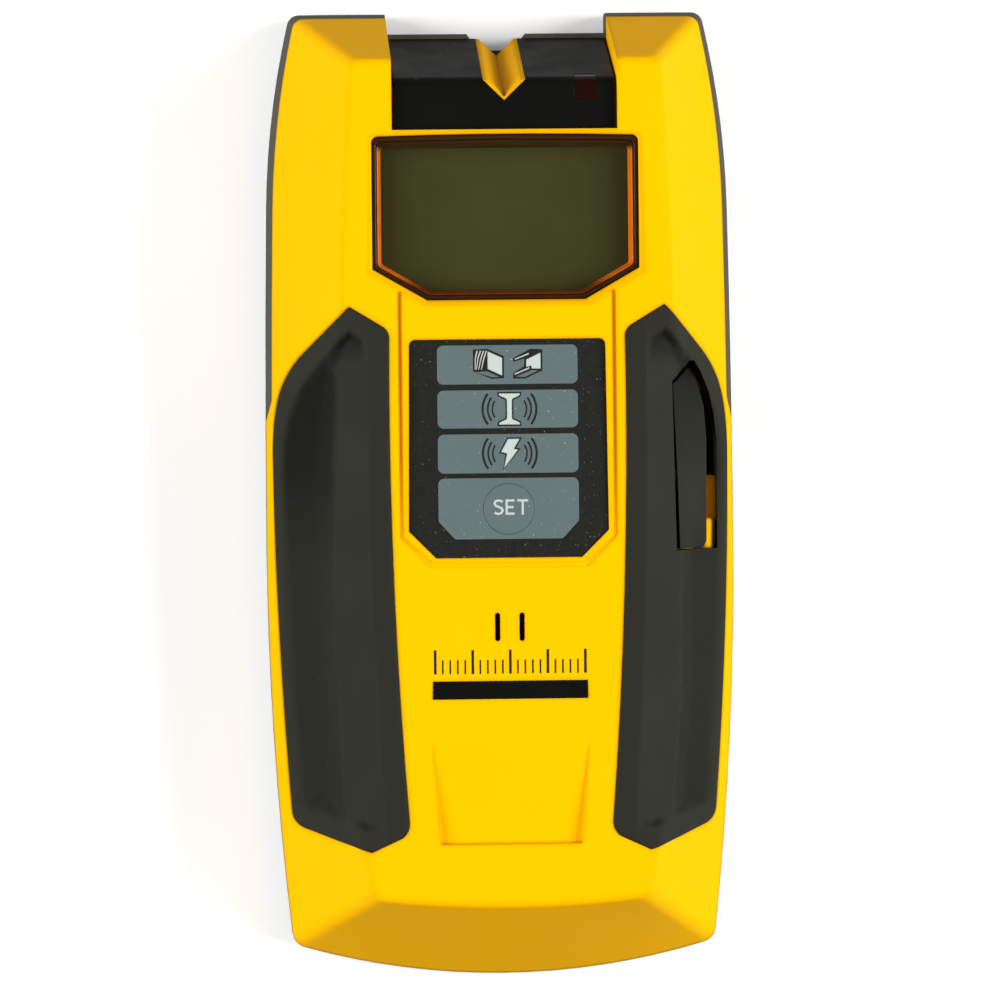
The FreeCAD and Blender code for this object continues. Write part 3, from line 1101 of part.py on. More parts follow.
# ---------------------------------------------------------------- fasteners
def screw(name, x, y, z, cap, cap_tall, shank, length, up=1):
    """A pan-head screw with a cross recess; up is the way its shank points."""
    base = z if up > 0 else f"{z} - ({cap_tall})"
    head = rod(name + "Head", x, y, base, cap, cap_tall)
    start = f"{z} + ({cap_tall}) - 0.05" if up > 0 else f"{z} - ({cap_tall}) - ({length})"
    body_rod = rod(name + "Shank", x, y, start, shank, f"{length} + 0.05")
    mouth = f"{z} - 0.5"
    slots = [box(name + "Slot" + axis, f"{x} - {a}", f"{y} - {b}", mouth, f"{x} + {a}", f"{y} + {b}",
                 f"{mouth} + 1.1")
             for axis, a, b in (("A", f"0.55 * ({cap})", "0.2"), ("B", "0.2", f"0.55 * ({cap})"))]
    return cut(name, fuse(name + "Solid", head, body_rod), *slots)


def make_screws():
    case_screws = [screw(f"CaseScrew{i}", x, y, "cap_z", "cap_radius", "cap_tall", "shank_radius",
                         "shank_long")
                   for i, (x, y) in enumerate(case_screw_places(), 1)]
    board_screws = [screw(f"BoardScrew{i}", x, y, "board_z - small_tall", "small_cap", "small_tall",
                          "small_shank", "small_long")
                    for i, (x, y) in enumerate(corners("post_x", "post_head_y", "post_foot_y"), 1)]
    sensor_screws = [screw(f"SensorScrew{i}", x, y, "sense_z + sense_thick + small_tall", "small_cap",
                           "small_tall", "small_shank", "3.6", up=-1)
                     for i, (x, y) in enumerate(corners("sense_post_x", "sense_post_head_y",
                                                        "sense_post_foot_y"), 1)]
    return case_screws, board_screws, sensor_screws


def make_glides():
    places = corners("glide_head_x", "glide_head_y", "glide_foot_y", "glide_foot_x")
    return group("GlidePads", *[rod(f"Glide{i}", x, y, "0", "glide_radius", "base_z")
                                for i, (x, y) in enumerate(places, 1)])


node("back_case", make_back_case())
node("top_bar", make_bar())
node("wire_lamp_window", make_lamp_window())
node("display_lens", make_lens())
node("display_glass", box("DisplayGlass", "-1 * glass_half", "glass_foot_y", "glass_low_z",
                          "glass_half", "glass_head_y", "glass_top_z"))
node("display_backlight", box("DisplayBacklight", "-1 * glass_half + 0.6", "strip_head_y + 0.3",
                              "board_z + board_thick", "glass_half - 0.6", "lamp_head_y",
                              "glass_low_z"))
node("display_connector", box("DisplayStrip", "-1 * glass_half + 0.6", "glass_foot_y",
                              "board_z + board_thick", "glass_half - 0.6", "strip_head_y",
                              "glass_low_z"))
node("membrane_overlay", make_overlay())
node("select_key", make_key())
node("keypad_light_guide", make_light_guide())
node("power_lever", make_lever())
node("name_badge", box("NameBadge", "-1 * badge_half + 0.05", "badge_foot_y + 0.05",
                       f"{crown('badge_head_y')} - badge_deep + 0.02", "badge_half - 0.05",
                       "badge_head_y - 0.05", f"{crown('badge_foot_y')} + 0.15"))
node("main_board", make_main_board())
node("microcontroller", under_board("Microcontroller", 0, 10, "chip_half", "chip_half", "chip_tall"))
node("board_components", make_board_components())
node("mode_leds", make_mode_leds())
node("wire_warning_led", on_board("WireLed", "wire_led_x", "wire_led_y", "1.5", "1.5", "2.6"))
node("select_switch", make_select_switch())
node("select_plunger", rod("SelectPlunger", "0", "key_y", "board_z + board_thick + 1.6",
                           "plunger_radius + 0.6", "plunger_top_z - board_z - board_thick - 1.6"))
node("power_switch", make_power_switch())
node("power_plunger", rod("PowerPlunger", "power_x + 0.8", "power_y", "power_z", "plunger_radius",
                          "power_tip_x - power_x - 0.8", "x"))
node("sounder", rod("Sounder", "0", "sounder_y", "board_z + board_thick", "sounder_radius",
                    "sounder_tall"))
node("sensor_board", make_sensor_board())
node("sensor_plates", make_sense_plates())
node("metal_sensing_coil", make_coil())
node("sensor_ribbon", box("Ribbon", "-1 * ribbon_half", "ribbon_y", "sense_z + sense_thick",
                          "ribbon_half", "ribbon_y + ribbon_thick", "board_z"))
node("battery", make_battery())
node("battery_snap", make_snap())
node("battery_lead_red", make_lead("RedLead", "lead_x"))
node("battery_lead_black", make_lead("BlackLead", "-1 * lead_x"))
node("battery_door", make_door())
node("door_foam", box("DoorFoam", "-1 * foam_half", "-52", "base_z + door_thick", "foam_half",
                      "-36", "base_z + door_thick + foam_thick"))
node("door_latch", make_latch())
case_set, board_set, sensor_set = make_screws()
node("case_screws", group("CaseScrews", *case_set))
node("board_screws", group("BoardScrews", *board_set))
node("sensor_screws", group("SensorScrews", *sensor_set))
node("glide_pads", make_glides())


# ---------------------------------------------------------------- checks and export
doc.recompute()
for item in doc.Objects:
    if "Invalid" in item.State or "Error" in item.State:
        raise RuntimeError(f"{item.Name} failed: {item.getStatusString()}")
for label, item in NODES.items():
    shape = item.Shape
    if shape.isNull() or not shape.isValid() or not shape.Solids:
        raise RuntimeError(f"{label} has no valid solid")
os.makedirs("parts", exist_ok=True)
for label, item in NODES.items():
    item.Shape.exportStep(f"parts/{label}.step")
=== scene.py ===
"""Stud finder: materials, detailed pieces, floor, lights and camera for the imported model.

Lengths in the tables are millimetres; Blender's are metres.
"""
import json
import math

import bpy
import numpy as np
from mathutils import Matrix, Vector


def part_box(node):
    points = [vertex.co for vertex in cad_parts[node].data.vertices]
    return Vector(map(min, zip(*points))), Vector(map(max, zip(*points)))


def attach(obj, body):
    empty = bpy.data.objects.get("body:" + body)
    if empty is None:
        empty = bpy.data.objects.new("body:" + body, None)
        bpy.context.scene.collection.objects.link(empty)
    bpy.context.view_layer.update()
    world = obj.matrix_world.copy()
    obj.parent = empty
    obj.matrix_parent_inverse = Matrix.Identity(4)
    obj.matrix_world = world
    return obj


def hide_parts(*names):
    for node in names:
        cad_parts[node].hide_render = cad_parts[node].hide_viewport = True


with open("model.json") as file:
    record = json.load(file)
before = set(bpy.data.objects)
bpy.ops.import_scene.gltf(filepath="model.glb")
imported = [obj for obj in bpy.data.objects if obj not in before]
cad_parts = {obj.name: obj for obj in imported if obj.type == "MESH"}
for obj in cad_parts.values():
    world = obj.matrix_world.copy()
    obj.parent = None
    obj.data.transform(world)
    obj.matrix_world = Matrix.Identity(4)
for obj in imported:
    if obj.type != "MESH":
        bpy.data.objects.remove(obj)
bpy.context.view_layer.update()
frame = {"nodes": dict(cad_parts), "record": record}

scene = bpy.context.scene
MM = 0.001


# ------------------------------------------------------------------ materials
def rgb(red, green, blue):
    """A screen colour, 0 to 255, as a linear colour."""
    def line(value):
        value /= 255
        return value / 12.92 if value <= 0.04045 else ((value + 0.055) / 1.055) ** 2.4
    return (line(red), line(green), line(blue), 1.0)


class Paint:
    """A procedural material while it is being put together. Scales are per metre."""

    def __init__(self, name):
        self.material = bpy.data.materials.new(name)
        self.material.use_nodes = True
        self.tree = self.material.node_tree
        self.tree.nodes.clear()
        self.place = self.add("ShaderNodeTexCoord").outputs["Object"]

    def add(self, kind, settings=None, **inputs):
        """A new node; an underscore in an input's name stands for a space."""
        made = self.tree.nodes.new(kind)
        for name, value in (settings or {}).items():
            setattr(made, name, value)
        for name, value in inputs.items():
            self.feed(made.inputs[name.replace("_", " ")], value)
        return made

    def feed(self, socket, value):
        if isinstance(value, bpy.types.NodeSocket):
            self.tree.links.new(value, socket)
        else:
            socket.default_value = value

    def noise(self, scale, detail=3.0, rough=0.55, stretch=None):
        place = self.place
        if stretch:
            place = self.add("ShaderNodeMapping", Vector=place, Scale=stretch).outputs[0]
        return self.add("ShaderNodeTexNoise", Vector=place, Scale=scale, Detail=detail,
                        Roughness=rough).outputs[0]

    def sum(self, operation, first, second=0.0):
        """The result of a Math node."""
        made = self.add("ShaderNodeMath", {"operation": operation})
        self.feed(made.inputs[0], first)
        self.feed(made.inputs[1], second)
        return made.outputs[0]

    def span(self, value, low, high, to_low=0.0, to_high=1.0):
        """The value from low to high, mapped smoothly on to another range."""
        return self.add("ShaderNodeMapRange", {"interpolation_type": "SMOOTHSTEP"}, Value=value,
                        From_Min=low, From_Max=high, To_Min=to_low, To_Max=to_high).outputs[0]

    def mix(self, share, first, second):
        """A colour between two others."""
        made = self.add("ShaderNodeMix", {"data_type": "RGBA"})
        factor, colour_a, colour_b = (made.inputs[i] for i in (0, 6, 7))
        self.feed(factor, share)
        self.feed(colour_a, first)
        self.feed(colour_b, second)
        return made.outputs[2]

    def axis(self, letter):
        return self.add("ShaderNodeSeparateXYZ", Vector=self.place).outputs["XYZ".index(letter)]

    def bump(self, height, depth, normal=None):
        """The surface's normal, tilted by a height pattern of a depth in metres."""
        made = self.add("ShaderNodeBump", Height=height, Distance=depth, Strength=1.0)
        if normal:
            self.feed(made.inputs["Normal"], normal)
        return made.outputs[0]

    def dust_and_glint_specks(self, scale, share, size=0.09):
        """A few small specks: 1 on a speck and 0 elsewhere."""
        cells = self.add("ShaderNodeTexVoronoi", Vector=self.place, Scale=scale)
        near = self.span(cells.outputs["Distance"], size, size * 0.4)
        lot = self.add("ShaderNodeSeparateColor", Color=cells.outputs["Color"]).outputs[0]
        return self.sum("MULTIPLY", near, self.sum("GREATER_THAN", lot, 1 - share))

    def rounded(self, radius):
        """The surface's normal with its sharp edges softened."""
        return self.add("ShaderNodeBevel", {"samples": 4}, Radius=radius).outputs[0]

    def worn(self, radius):
        """1 along sharp edges and 0 on the flats."""
        soft = self.rounded(radius)
        true = self.add("ShaderNodeNewGeometry").outputs["Normal"]
        dot = self.add("ShaderNodeVectorMath", {"operation": "DOT_PRODUCT"})
        self.feed(dot.inputs[0], soft)
        self.feed(dot.inputs[1], true)
        return self.span(dot.outputs["Value"], 0.995, 0.9)

    def done(self, colour, rough, normal=None, **constants):
        shader = self.add("ShaderNodeBsdfPrincipled", Base_Color=colour, Roughness=rough, **constants)
        if normal:
            self.feed(shader.inputs["Normal"], normal)
        out = self.add("ShaderNodeOutputMaterial")
        self.tree.links.new(shader.outputs[0], out.inputs["Surface"])
        return self.material


def scaled(colour, factor, lift=0.0):
    """The colour made brighter or darker."""
    return tuple(min(c * factor + lift, 1) for c in colour[:3]) + (1,)


def moulded(name, colour, rough=0.5, grain=3200, depth=6e-6, tone=0.05, specks=0.04,
            speck=(0.3, 0.3, 0.28, 1), wear=0.35, edge=0.00025, gloss=0.35, painted_shade=None):
    """Moulded plastic or rubber: fine eroded grain, slight tone, specks (dust on most parts, painted
    glints on the lens rim), and edges rubbed brighter.

    The last argument names a mesh attribute that holds painted shade; the colour is darkened by it.
    """
    p = Paint(name)
    tint = p.mix(p.noise(55, 4), scaled(colour, 1 - tone), scaled(colour, 1 + tone))
    # specks: dust on most parts, painted glints on the lens rim
    tint = p.mix(p.sum("MULTIPLY", p.dust_and_glint_specks(420, specks), 0.55), tint, speck)
    if wear:
        patchy = p.sum("MULTIPLY", p.worn(edge * 1.6), p.span(p.noise(260, 5), 0.35, 0.7, 0.3, 1))
        tint = p.mix(p.sum("MULTIPLY", patchy, wear), tint, scaled(colour, 1.25, 0.012))
    # painted shade: a mesh attribute darkens the colour where shade would fall
    if painted_shade:
        shade_share = p.add("ShaderNodeAttribute", {"attribute_name": painted_shade}).outputs["Fac"]
        tint = p.mix(shade_share, tint, PAINTED_SHADE_COLOUR)
    fine = p.noise(grain, 5, 0.6)
    polish = p.span(p.noise(90, 5, 0.6), 0.3, 0.7, rough - 0.05, rough + 0.06)
    return p.done(tint, polish, p.bump(fine, depth, p.rounded(edge)), Specular_IOR_Level=gloss)


def clear_plastic(name, colour, alpha, rough=0.08, gloss=0.5):
    """A clear tinted pane with faint smears."""
    p = Paint(name)
    tint = p.mix(p.span(p.noise(70, 4), 0.35, 0.7), scaled(colour, 0.82), colour)
    smear = p.span(p.noise(35, 5, 0.65, (1, 0.4, 1)), 0.4, 0.75, rough, rough + 0.16)
    made = p.done(tint, smear, p.bump(p.noise(900, 3), 1e-6), Alpha=alpha, Specular_IOR_Level=gloss)
    made.blend_method = "BLEND"
    return made


def printed(name, colour, speckle, share, rough=0.55, grain=2600, depth=1.2e-5):
    """A printed and pebbled film, with lighter speckles."""
    p = Paint(name)
    tone = p.mix(p.noise(60, 3), scaled(colour, 0.93), scaled(colour, 1.07))
    dots = p.span(p.noise(grain, 2, 0.5), 0.74 - share, 0.86 - share)
    tone = p.mix(p.sum("MULTIPLY", dots, 0.55), tone, speckle)
    tone = p.mix(p.dust_and_glint_specks(1500, share, 0.2), tone, speckle)
    return p.done(tone, p.span(p.noise(700, 4), 0.3, 0.7, rough - 0.06, rough + 0.06),
                  p.bump(p.noise(grain, 3, 0.6), depth), Specular_IOR_Level=0.15)


def metal(name, colour, rough=0.32, stretch=(1, 1, 12)):
    """Plated metal with fine drawn lines."""
    p = Paint(name)
    lines = p.noise(900, 4, 0.6, stretch)
    tone = p.mix(lines, scaled(colour, 0.8), colour)
    return p.done(tone, p.span(lines, 0.2, 0.8, rough - 0.08, rough + 0.12),
                  p.bump(lines, 3e-6, p.rounded(0.0001)), Metallic=1.0)


def circuit(name):
    """Green solder mask over copper tracks, with tinned pads."""
    p = Paint(name)
    tracks = p.add("ShaderNodeTexBrick", {"offset": 0.37}, Vector=p.place, Scale=330.0,
                   Color1=(0, 0, 0, 1), Color2=(0, 0, 0, 1), Mortar=(1, 1, 1, 1), Mortar_Size=0.035,
                   Brick_Width=0.9, Row_Height=0.4).outputs[0]
    pads = p.dust_and_glint_specks(600, 0.16, 0.3)
    tone = p.mix(tracks, rgb(8, 74, 34), rgb(30, 112, 54))
    tone = p.mix(pads, tone, rgb(190, 190, 184))
    return p.done(tone, p.span(pads, 0, 1, 0.32, 0.24), p.bump(tracks, 2e-5), Specular_IOR_Level=0.5)


def display_face(name):
    """Unlit liquid-crystal glass: cloudy olive, with painted shade that turns it browner towards its
    edges, and a few specks.
    """
    p = Paint(name)
    across = p.sum("ABSOLUTE", p.axis("X"))
    along = p.sum("ABSOLUTE", p.sum("SUBTRACT", p.axis("Y"), DISPLAY_Y))
    # painted shade: darker and browner near the display's edges, under the frame
    edge = p.sum("MAXIMUM", p.span(across, *DISPLAY_SHADE_X), p.span(along, *DISPLAY_SHADE_Y))
    cloud = p.noise(48, 4, 0.6)
    tone = p.mix(cloud, rgb(47, 52, 23), rgb(56, 62, 31))
    tone = p.mix(p.sum("MULTIPLY", edge, 0.75), tone, rgb(50, 45, 16))
    tone = p.mix(p.dust_and_glint_specks(330, 0.05, 0.05), tone, rgb(120, 124, 100))
    return p.done(tone, p.span(cloud, 0.3, 0.7, 0.32, 0.44), p.bump(p.noise(2600, 3), 2e-6),
                  Specular_IOR_Level=0.1)


def lens_edge_painted_light(name):
    """Edge of the amber lens, with its light painted in: glowing orange at the sides, shaded dark at the
    head and red at the foot.
    """
    p = Paint(name)
    along = p.axis("Y")
    streak = p.noise(420, 3, 0.5)
    sides = p.mix(streak, rgb(212, 96, 4), rgb(240, 126, 14))
    foot = p.mix(streak, rgb(92, 24, 0), rgb(140, 46, 4))
    head = p.mix(streak, rgb(40, 22, 6), rgb(66, 36, 12))
    # painted light: the amber edge lit orange at the sides, dim red at the foot and shaded dark at the
    # head
    tone = p.mix(p.span(along, *LENS_RED), sides, foot)
    tone = p.mix(p.span(along, *LENS_SHADED_HEAD), tone, head)
    return p.done(tone, p.span(streak, 0.3, 0.7, 0.10, 0.2), p.bump(p.noise(1200, 2), 2e-6),
                  Specular_IOR_Level=0.15)


# where painted shade turns the display browner, and where the lens's edge turns red at the foot and
# shaded dark at the head, in metres
DISPLAY_Y = 0.0455
DISPLAY_SHADE_X, DISPLAY_SHADE_Y = (0.0155, 0.0208), (0.0080, 0.0118)
LENS_RED, LENS_SHADED_HEAD = (0.0362, 0.0338), (0.0560, 0.0572)
YELLOW = (0.80, 0.40, 0.0, 1.0)
GREY = rgb(72, 71, 61)
RUBBER = rgb(39, 39, 33)
BLACK = rgb(13, 14, 12)
# colour of the painted shade on the grips and the lever
PAINTED_SHADE_COLOUR = rgb(8, 9, 7)

MATERIALS = {
    "yellow_shell": moulded("yellow_abs", YELLOW, 0.42, depth=7e-6, tone=0.03, specks=0.012,
                            speck=rgb(190, 150, 20), wear=0, edge=0.0013, gloss=0.006),
    "grey_shell": moulded("grey_abs", GREY, 0.55, 2300, 1.4e-5, wear=0.4, gloss=0.12),
    # the grips and the lever are darkened by painted shade held in a mesh attribute
    "soft_grip": moulded("grip_rubber", RUBBER, 0.62, 2600, 8e-6, 0.07, 0.06, wear=0.25, gloss=0.04,
                         painted_shade="painted_shade"),
    "black_trim": moulded("black_satin", BLACK, 0.42, 3400, 5e-6, 0.08, 0.06, wear=0.3, gloss=0.03),
    "red_window": clear_plastic("red_window", rgb(30, 7, 3), 0.96, 0.2, 0.08),
    "amber_lens": clear_plastic("amber_pane", rgb(60, 52, 20), 0.08, 0.05),
    "lcd_glass": display_face("display_face"),
    "light_panel": moulded("light_panel", rgb(214, 214, 206), 0.35, wear=0),
    "elastomer": moulded("elastomer", rgb(190, 120, 120), 0.6, wear=0),
    "keypad_film": printed("keypad_film", rgb(21, 22, 18), rgb(104, 105, 98), 0.08),
    "key_film": printed("key_film", rgb(80, 94, 94), rgb(150, 164, 164), 0.06, grain=3000),
    "clear_guide": moulded("clear_guide", rgb(226, 232, 232), 0.3, wear=0),
    "board_green": circuit("board_green"),
    "chip_black": moulded("chip_epoxy", rgb(28, 28, 29), 0.5, 4000),
    "led_clear": moulded("led_clear", rgb(225, 225, 205), 0.2, wear=0),
    "led_red": moulded("led_red", rgb(176, 26, 18), 0.2, wear=0),
    "switch_black": moulded("switch_nylon", rgb(30, 30, 31), 0.5),
    "switch_white": moulded("switch_plunger", rgb(214, 210, 200), 0.45),
    "copper": metal("copper", (0.85, 0.42, 0.24, 1), 0.3, (8, 8, 1)),
    "ribbon_grey": moulded("ribbon_pvc", rgb(150, 150, 150), 0.5),
    "battery_case": moulded("battery_can", rgb(62, 66, 70), 0.3, gloss=0.5),
    "snap_black": moulded("snap_vinyl", rgb(26, 26, 27), 0.55),
    "lead_red": moulded("lead_red", rgb(170, 18, 16), 0.42, wear=0),
    "lead_black": moulded("lead_black", rgb(24, 24, 25), 0.42, wear=0),
    "foam": moulded("foam", rgb(48, 48, 48), 0.9, 1300, 1.2e-4, wear=0, gloss=0.1),
    "zinc_screw": metal("zinc_screw", (0.62, 0.62, 0.6, 1)),
    "black_screw": metal("black_screw", (0.09, 0.09, 0.1, 1), 0.4),
    "felt": moulded("glide_felt", rgb(70, 70, 70), 0.92, 1700, 9e-5, 0.12, wear=0, gloss=0.1),
}

for row in frame["record"]["subparts"]:
    slots = frame["nodes"][row["node"]].data.materials
    slots.clear()
    slots.append(MATERIALS[row["material_slot"]])


# ------------------------------------------------------------------ making pieces
def piece(name, points, faces, material, body="case", smooth=True):
    """A mesh piece from points in millimetres, riding on a body."""
    mesh = bpy.data.meshes.new(name)
    mesh.from_pydata([tuple(c * MM for c in point) for point in points], [], faces)
    mesh.update()
    made = bpy.data.objects.new(name, mesh)
    scene.collection.objects.link(made)
    if smooth:
        mesh.shade_smooth()
    mesh.materials.append(material)
    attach(made, body)
    return made


def sheet_faces(rows, columns):
    """Faces of a closed sheet: a grid of points, the same grid behind it, and the band between them."""
    back = rows * columns
    faces = []
    for i in range(rows - 1):
        for j in range(columns - 1):
            a = i * columns + j
            quad = (a, a + columns, a + columns + 1, a + 1)
            faces += [quad, tuple(back + k for k in reversed(quad))]
    ring = list(range(columns)) + [i * columns + columns - 1 for i in range(1, rows)] + \
        [(rows - 1) * columns + j for j in range(columns - 2, -1, -1)] + \
        [i * columns for i in range(rows - 2, 0, -1)]
    return faces + [(a, b, back + b, back + a) for a, b in zip(ring, ring[1:] + ring[:1])]


def stacked_faces(rings, width, closed=False):
    """Faces between rings of points; the ends are filled unless the last ring joins the first."""
    faces = []
    for i in range(rings if closed else rings - 1):
        a, b = i * width, (i + 1) % rings * width
        faces += [(a + j, a + (j + 1) % width, b + (j + 1) % width, b + j) for j in range(width)]
    if not closed:
        faces += [tuple(range(width))[::-1], tuple((rings - 1) * width + j for j in range(width))]
    return faces


def sharpen(made, degrees):
    """Faces that meet at more than an angle keep a crisp edge between them."""
    made.data.set_sharp_from_angle(angle=math.radians(degrees))


def baked(made):
    """The piece with its modifiers applied to its mesh."""
    graph = bpy.context.evaluated_depsgraph_get()
    mesh = bpy.data.meshes.new_from_object(made.evaluated_get(graph))
    made.modifiers.clear()
    made.data = mesh
    return made


CROWN_TOP, CROWN_Y, CROWN_BEND = 37, 20, 3200


def crown(y):
    """Height of the front face along the case."""
    return CROWN_TOP - (y - CROWN_Y) ** 2 / CROWN_BEND


def drape(made, flat_z):
    """Lays a flat piece that was drawn at flat_z on the crowned front."""
    for vertex in made.data.vertices:
        vertex.co.z += (crown(vertex.co.y / MM) - flat_z) * MM


def plate(name, loops, low, high, material, body="case"):
    """A thin flat piece with sharp sides; a loop inside another one is a hole."""
    curve = bpy.data.curves.new(name, "CURVE")
    curve.dimensions = "2D"
    curve.fill_mode = "BOTH"
    curve.extrude = (high - low) / 2 * MM
    for loop in loops:
        spline = curve.splines.new("POLY")
        spline.points.add(len(loop) - 1)
        for point, (x, y) in zip(spline.points, loop):
            point.co = (x * MM, y * MM, 0, 1)
        spline.use_cyclic_u = True
    drawn = bpy.data.objects.new(name + ".drawn", curve)
    scene.collection.objects.link(drawn)
    mesh = bpy.data.meshes.new_from_object(drawn)
    bpy.data.objects.remove(drawn)
    mesh.transform(Matrix.Translation((0, 0, (low + high) / 2 * MM)))
    mesh.materials.clear()
    mesh.materials.append(material)
    made = bpy.data.objects.new(name, mesh)
    scene.collection.objects.link(made)
    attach(made, body)
    return made


def circle(x, y, radius, count=64):
    angles = [2 * math.pi * i / count for i in range(count)]
    return [(x + radius * math.cos(a), y + radius * math.sin(a)) for a in angles]


def softened(corners, radius, steps=6):
    """A closed outline with its corners rounded; radius is one number or one for each corner."""
    loop = []
    radii = radius if isinstance(radius, (list, tuple)) else [radius] * len(corners)
    for i, corner in enumerate(corners):
        here = Vector(corner)
        before = (Vector(corners[i - 1]) - here).normalized()
        after = (Vector(corners[(i + 1) % len(corners)]) - here).normalized()
        half = before.angle(after) / 2
        reach = radii[i] / math.tan(half)
        start, end = here + before * reach, here + after * reach
        centre = here + (before + after).normalized() * (radii[i] / math.sin(half))
        for k in range(steps + 1):
            share = k / steps
            ray = (start - centre).lerp(end - centre, share).normalized() * radii[i]
            loop.append(tuple(centre + ray))
    return loop


def sector(x, y, inner, outer, start, end, count=16):
    """A bent bar between two radii and two angles, in degrees."""
    angles = [math.radians(start + (end - start) * i / count) for i in range(count + 1)]
    return [(x + outer * math.cos(a), y + outer * math.sin(a)) for a in angles] + \
        [(x + inner * math.cos(a), y + inner * math.sin(a)) for a in reversed(angles)]


def grown(loop, distance):
    """The counterclockwise outline moved outwards by a distance."""
    out = []
    for i, corner in enumerate(loop):
        here = Vector(corner)
        first = (here - Vector(loop[i - 1])).normalized()
        second = (Vector(loop[(i + 1) % len(loop)]) - here).normalized()
        normal = Vector((first.y + second.y, -first.x - second.x))
        normal /= max(normal.length_squared / 2, 0.35)
        out.append(tuple(here + normal * distance))
    return out


# ------------------------------------------------------------------ soft grips
def stations(table, y):
    """The value that a table of (y, value) rows has at y."""
    ys, values = zip(*sorted(table))
    return np.interp(y, ys, values)


def arc_points(start, end, sag, count=24):
    """Points from start to end on a shallow arc that bulges by sag to the right of travel."""
    a, b = np.array(start, float), np.array(end, float)
    along = b - a
    side = np.array((along[1], -along[0])) / np.hypot(*along)
    share = np.linspace(0, 1, count)[:, None]
    return a + along * share + side * (4 * sag * share * (1 - share))


def soft_min(a, b, blend):
    """The lower of two heights, rounded where they cross."""
    share = np.clip(0.5 + 0.5 * (b - a) / blend, 0, 1)
    return b * (1 - share) + a * share - blend * share * (1 - share)


def soft_max(a, b, blend):
    return -soft_min(-a, -b, blend)


# outlines of the grip and of its finger channel, from above; then (y, x) tables across the grip
INNER_EDGE = np.vstack([[(25.8, 31.0)], arc_points((20.2, 27.6), (19.3, 25.6), 0.28, 8),
                        arc_points((19.3, 25.6), (16.67, -53.6), -0.9)[1:],
                        arc_points((16.67, -53.6), (17.9, -56.1), 0.36, 8)[1:], [(22.9, -58.4)]])
OUTER_EDGE = np.vstack([[(25.8, 31.0)], arc_points((33.1, 23.6), (37.2, 15.9), -0.59, 10),
                        arc_points((37.2, 15.9), (38.1, 6.0), -0.28, 10)[1:],
                        arc_points((38.1, 6.0), (35.5, -52.4), -0.475)[1:],
                        arc_points((35.5, -52.4), (33.6, -55.2), -0.54, 8)[1:], [(22.9, -58.4)]])
RECESS = [(26.0, 27.4), (28.65, 25.1), (33.9, 18.3), (36.2, 13.3), (37.0, 9.0), (37.2, 4.0),
          (36.7, -10.6), (35.7, -34.0), (34.3, -51.0), (33.4, -52.3), (26.4, -54.1), (23.5, -55.0),
          (21.4, -54.3), (20.7, -53.0), (21.2, -40.3), (22.6, -10.4), (22.8, 5.9), (22.8, 23.4),
          (23.3, 25.6)]
CREASE = [(31, 22.8), (23.5, 22.8), (5.9, 22.75), (-10.4, 22.6), (-40.3, 21.2), (-58.4, 20.3)]
RIDGE = [(31, 29.5), (22.5, 28.9), (19.6, 27.7), (16, 27.6), (6, 28.1), (-10, 28.2), (-33.3, 27.9),
         (-51, 26.7), (-58.4, 26.0)]

# the flank's foot and head, as half_width takes them: its widest half, where that is, and the bends
FLANK_BASE = (39.2, -8, 6000, 1180)
FLANK_FRONT = (27.3, -6, 2458, 572)
FLANK_TOP, FLANK_FALL = 38, 32.5


def half_width(y, widest, widest_y, head_bend, foot_bend):
    """Half of the case's width where it bends in towards the head and the foot."""
    away = (y - widest_y) ** 2
    return widest - np.where(y > widest_y, away / head_bend, away / foot_bend)


def flank_height(x, y):
    """Height of the yellow flank, carried on over the grip."""
    base, front = half_width(y, *FLANK_BASE), half_width(y, *FLANK_FRONT)
    return FLANK_TOP - FLANK_FALL * (x - front) / (base - front)


def border_distance(x, y, loop):
    """How far points lie inside a closed outline; negative outside it."""
    nearest = np.full(x.shape, 1e9)
    inside = np.zeros(x.shape, bool)
    for (ax, ay), (bx, by) in zip(loop, loop[1:] + loop[:1]):
        dx, dy = bx - ax, by - ay
        share = np.clip(((x - ax) * dx + (y - ay) * dy) / (dx * dx + dy * dy), 0, 1)
        nearest = np.minimum(nearest, np.hypot(x - ax - share * dx, y - ay - share * dy))
        crosses = (ay > y) != (by > y)
        inside ^= crosses & (x < ax + (y - ay) * dx / (by - ay if by != ay else 1e-9))
    return np.where(inside, nearest, -nearest)


def smooth(value, low, high):
    """0 at low and 1 at high, with soft ends."""
    share = np.clip((value - low) / (high - low), 0, 1)
    return share * share * (3 - 2 * share)


def grip_painted_shade(x, y):
    """Share of painted shade on the grip: most at the channel's head, little at its foot."""
    depth = border_distance(x, y, RECESS)
    rim = smooth(depth, 0.1, 1.0)
    channel = smooth(depth, 0.1, 1.5) * smooth(x - stations(RIDGE, y), -0.3, 0.9)
    channel = channel * (0.30 + 0.45 * smooth(y, -14, 8))
    end = 0.62 * smooth(y, 20.5, 25.5) * rim
    bank = 0.68 * smooth(y, 13, 18) * smooth(x, 25.6, 27.5) * rim * smooth(depth, 3.4, 2.0)
    inner_side = 0.10 * (1 - smooth(x - stations(CREASE, y), -0.2, 0.2))
    return np.maximum.reduce([channel, end, bank, inner_side])


def put_painted_shade(made, values):
    """Writes a value for each vertex as the mesh's painted shade."""
    layer = made.data.attributes.new("painted_shade", "FLOAT", "POINT")
    layer.data.foreach_set("value", np.asarray(values, dtype=np.float32))


PROUD = 0.34
SHOULDER_DROP, SHOULDER_SLOPE, WALL_SLOPE, BANK_SLOPE = 0.10, 0.55, 4.2, 1.5
LIP = 0.42


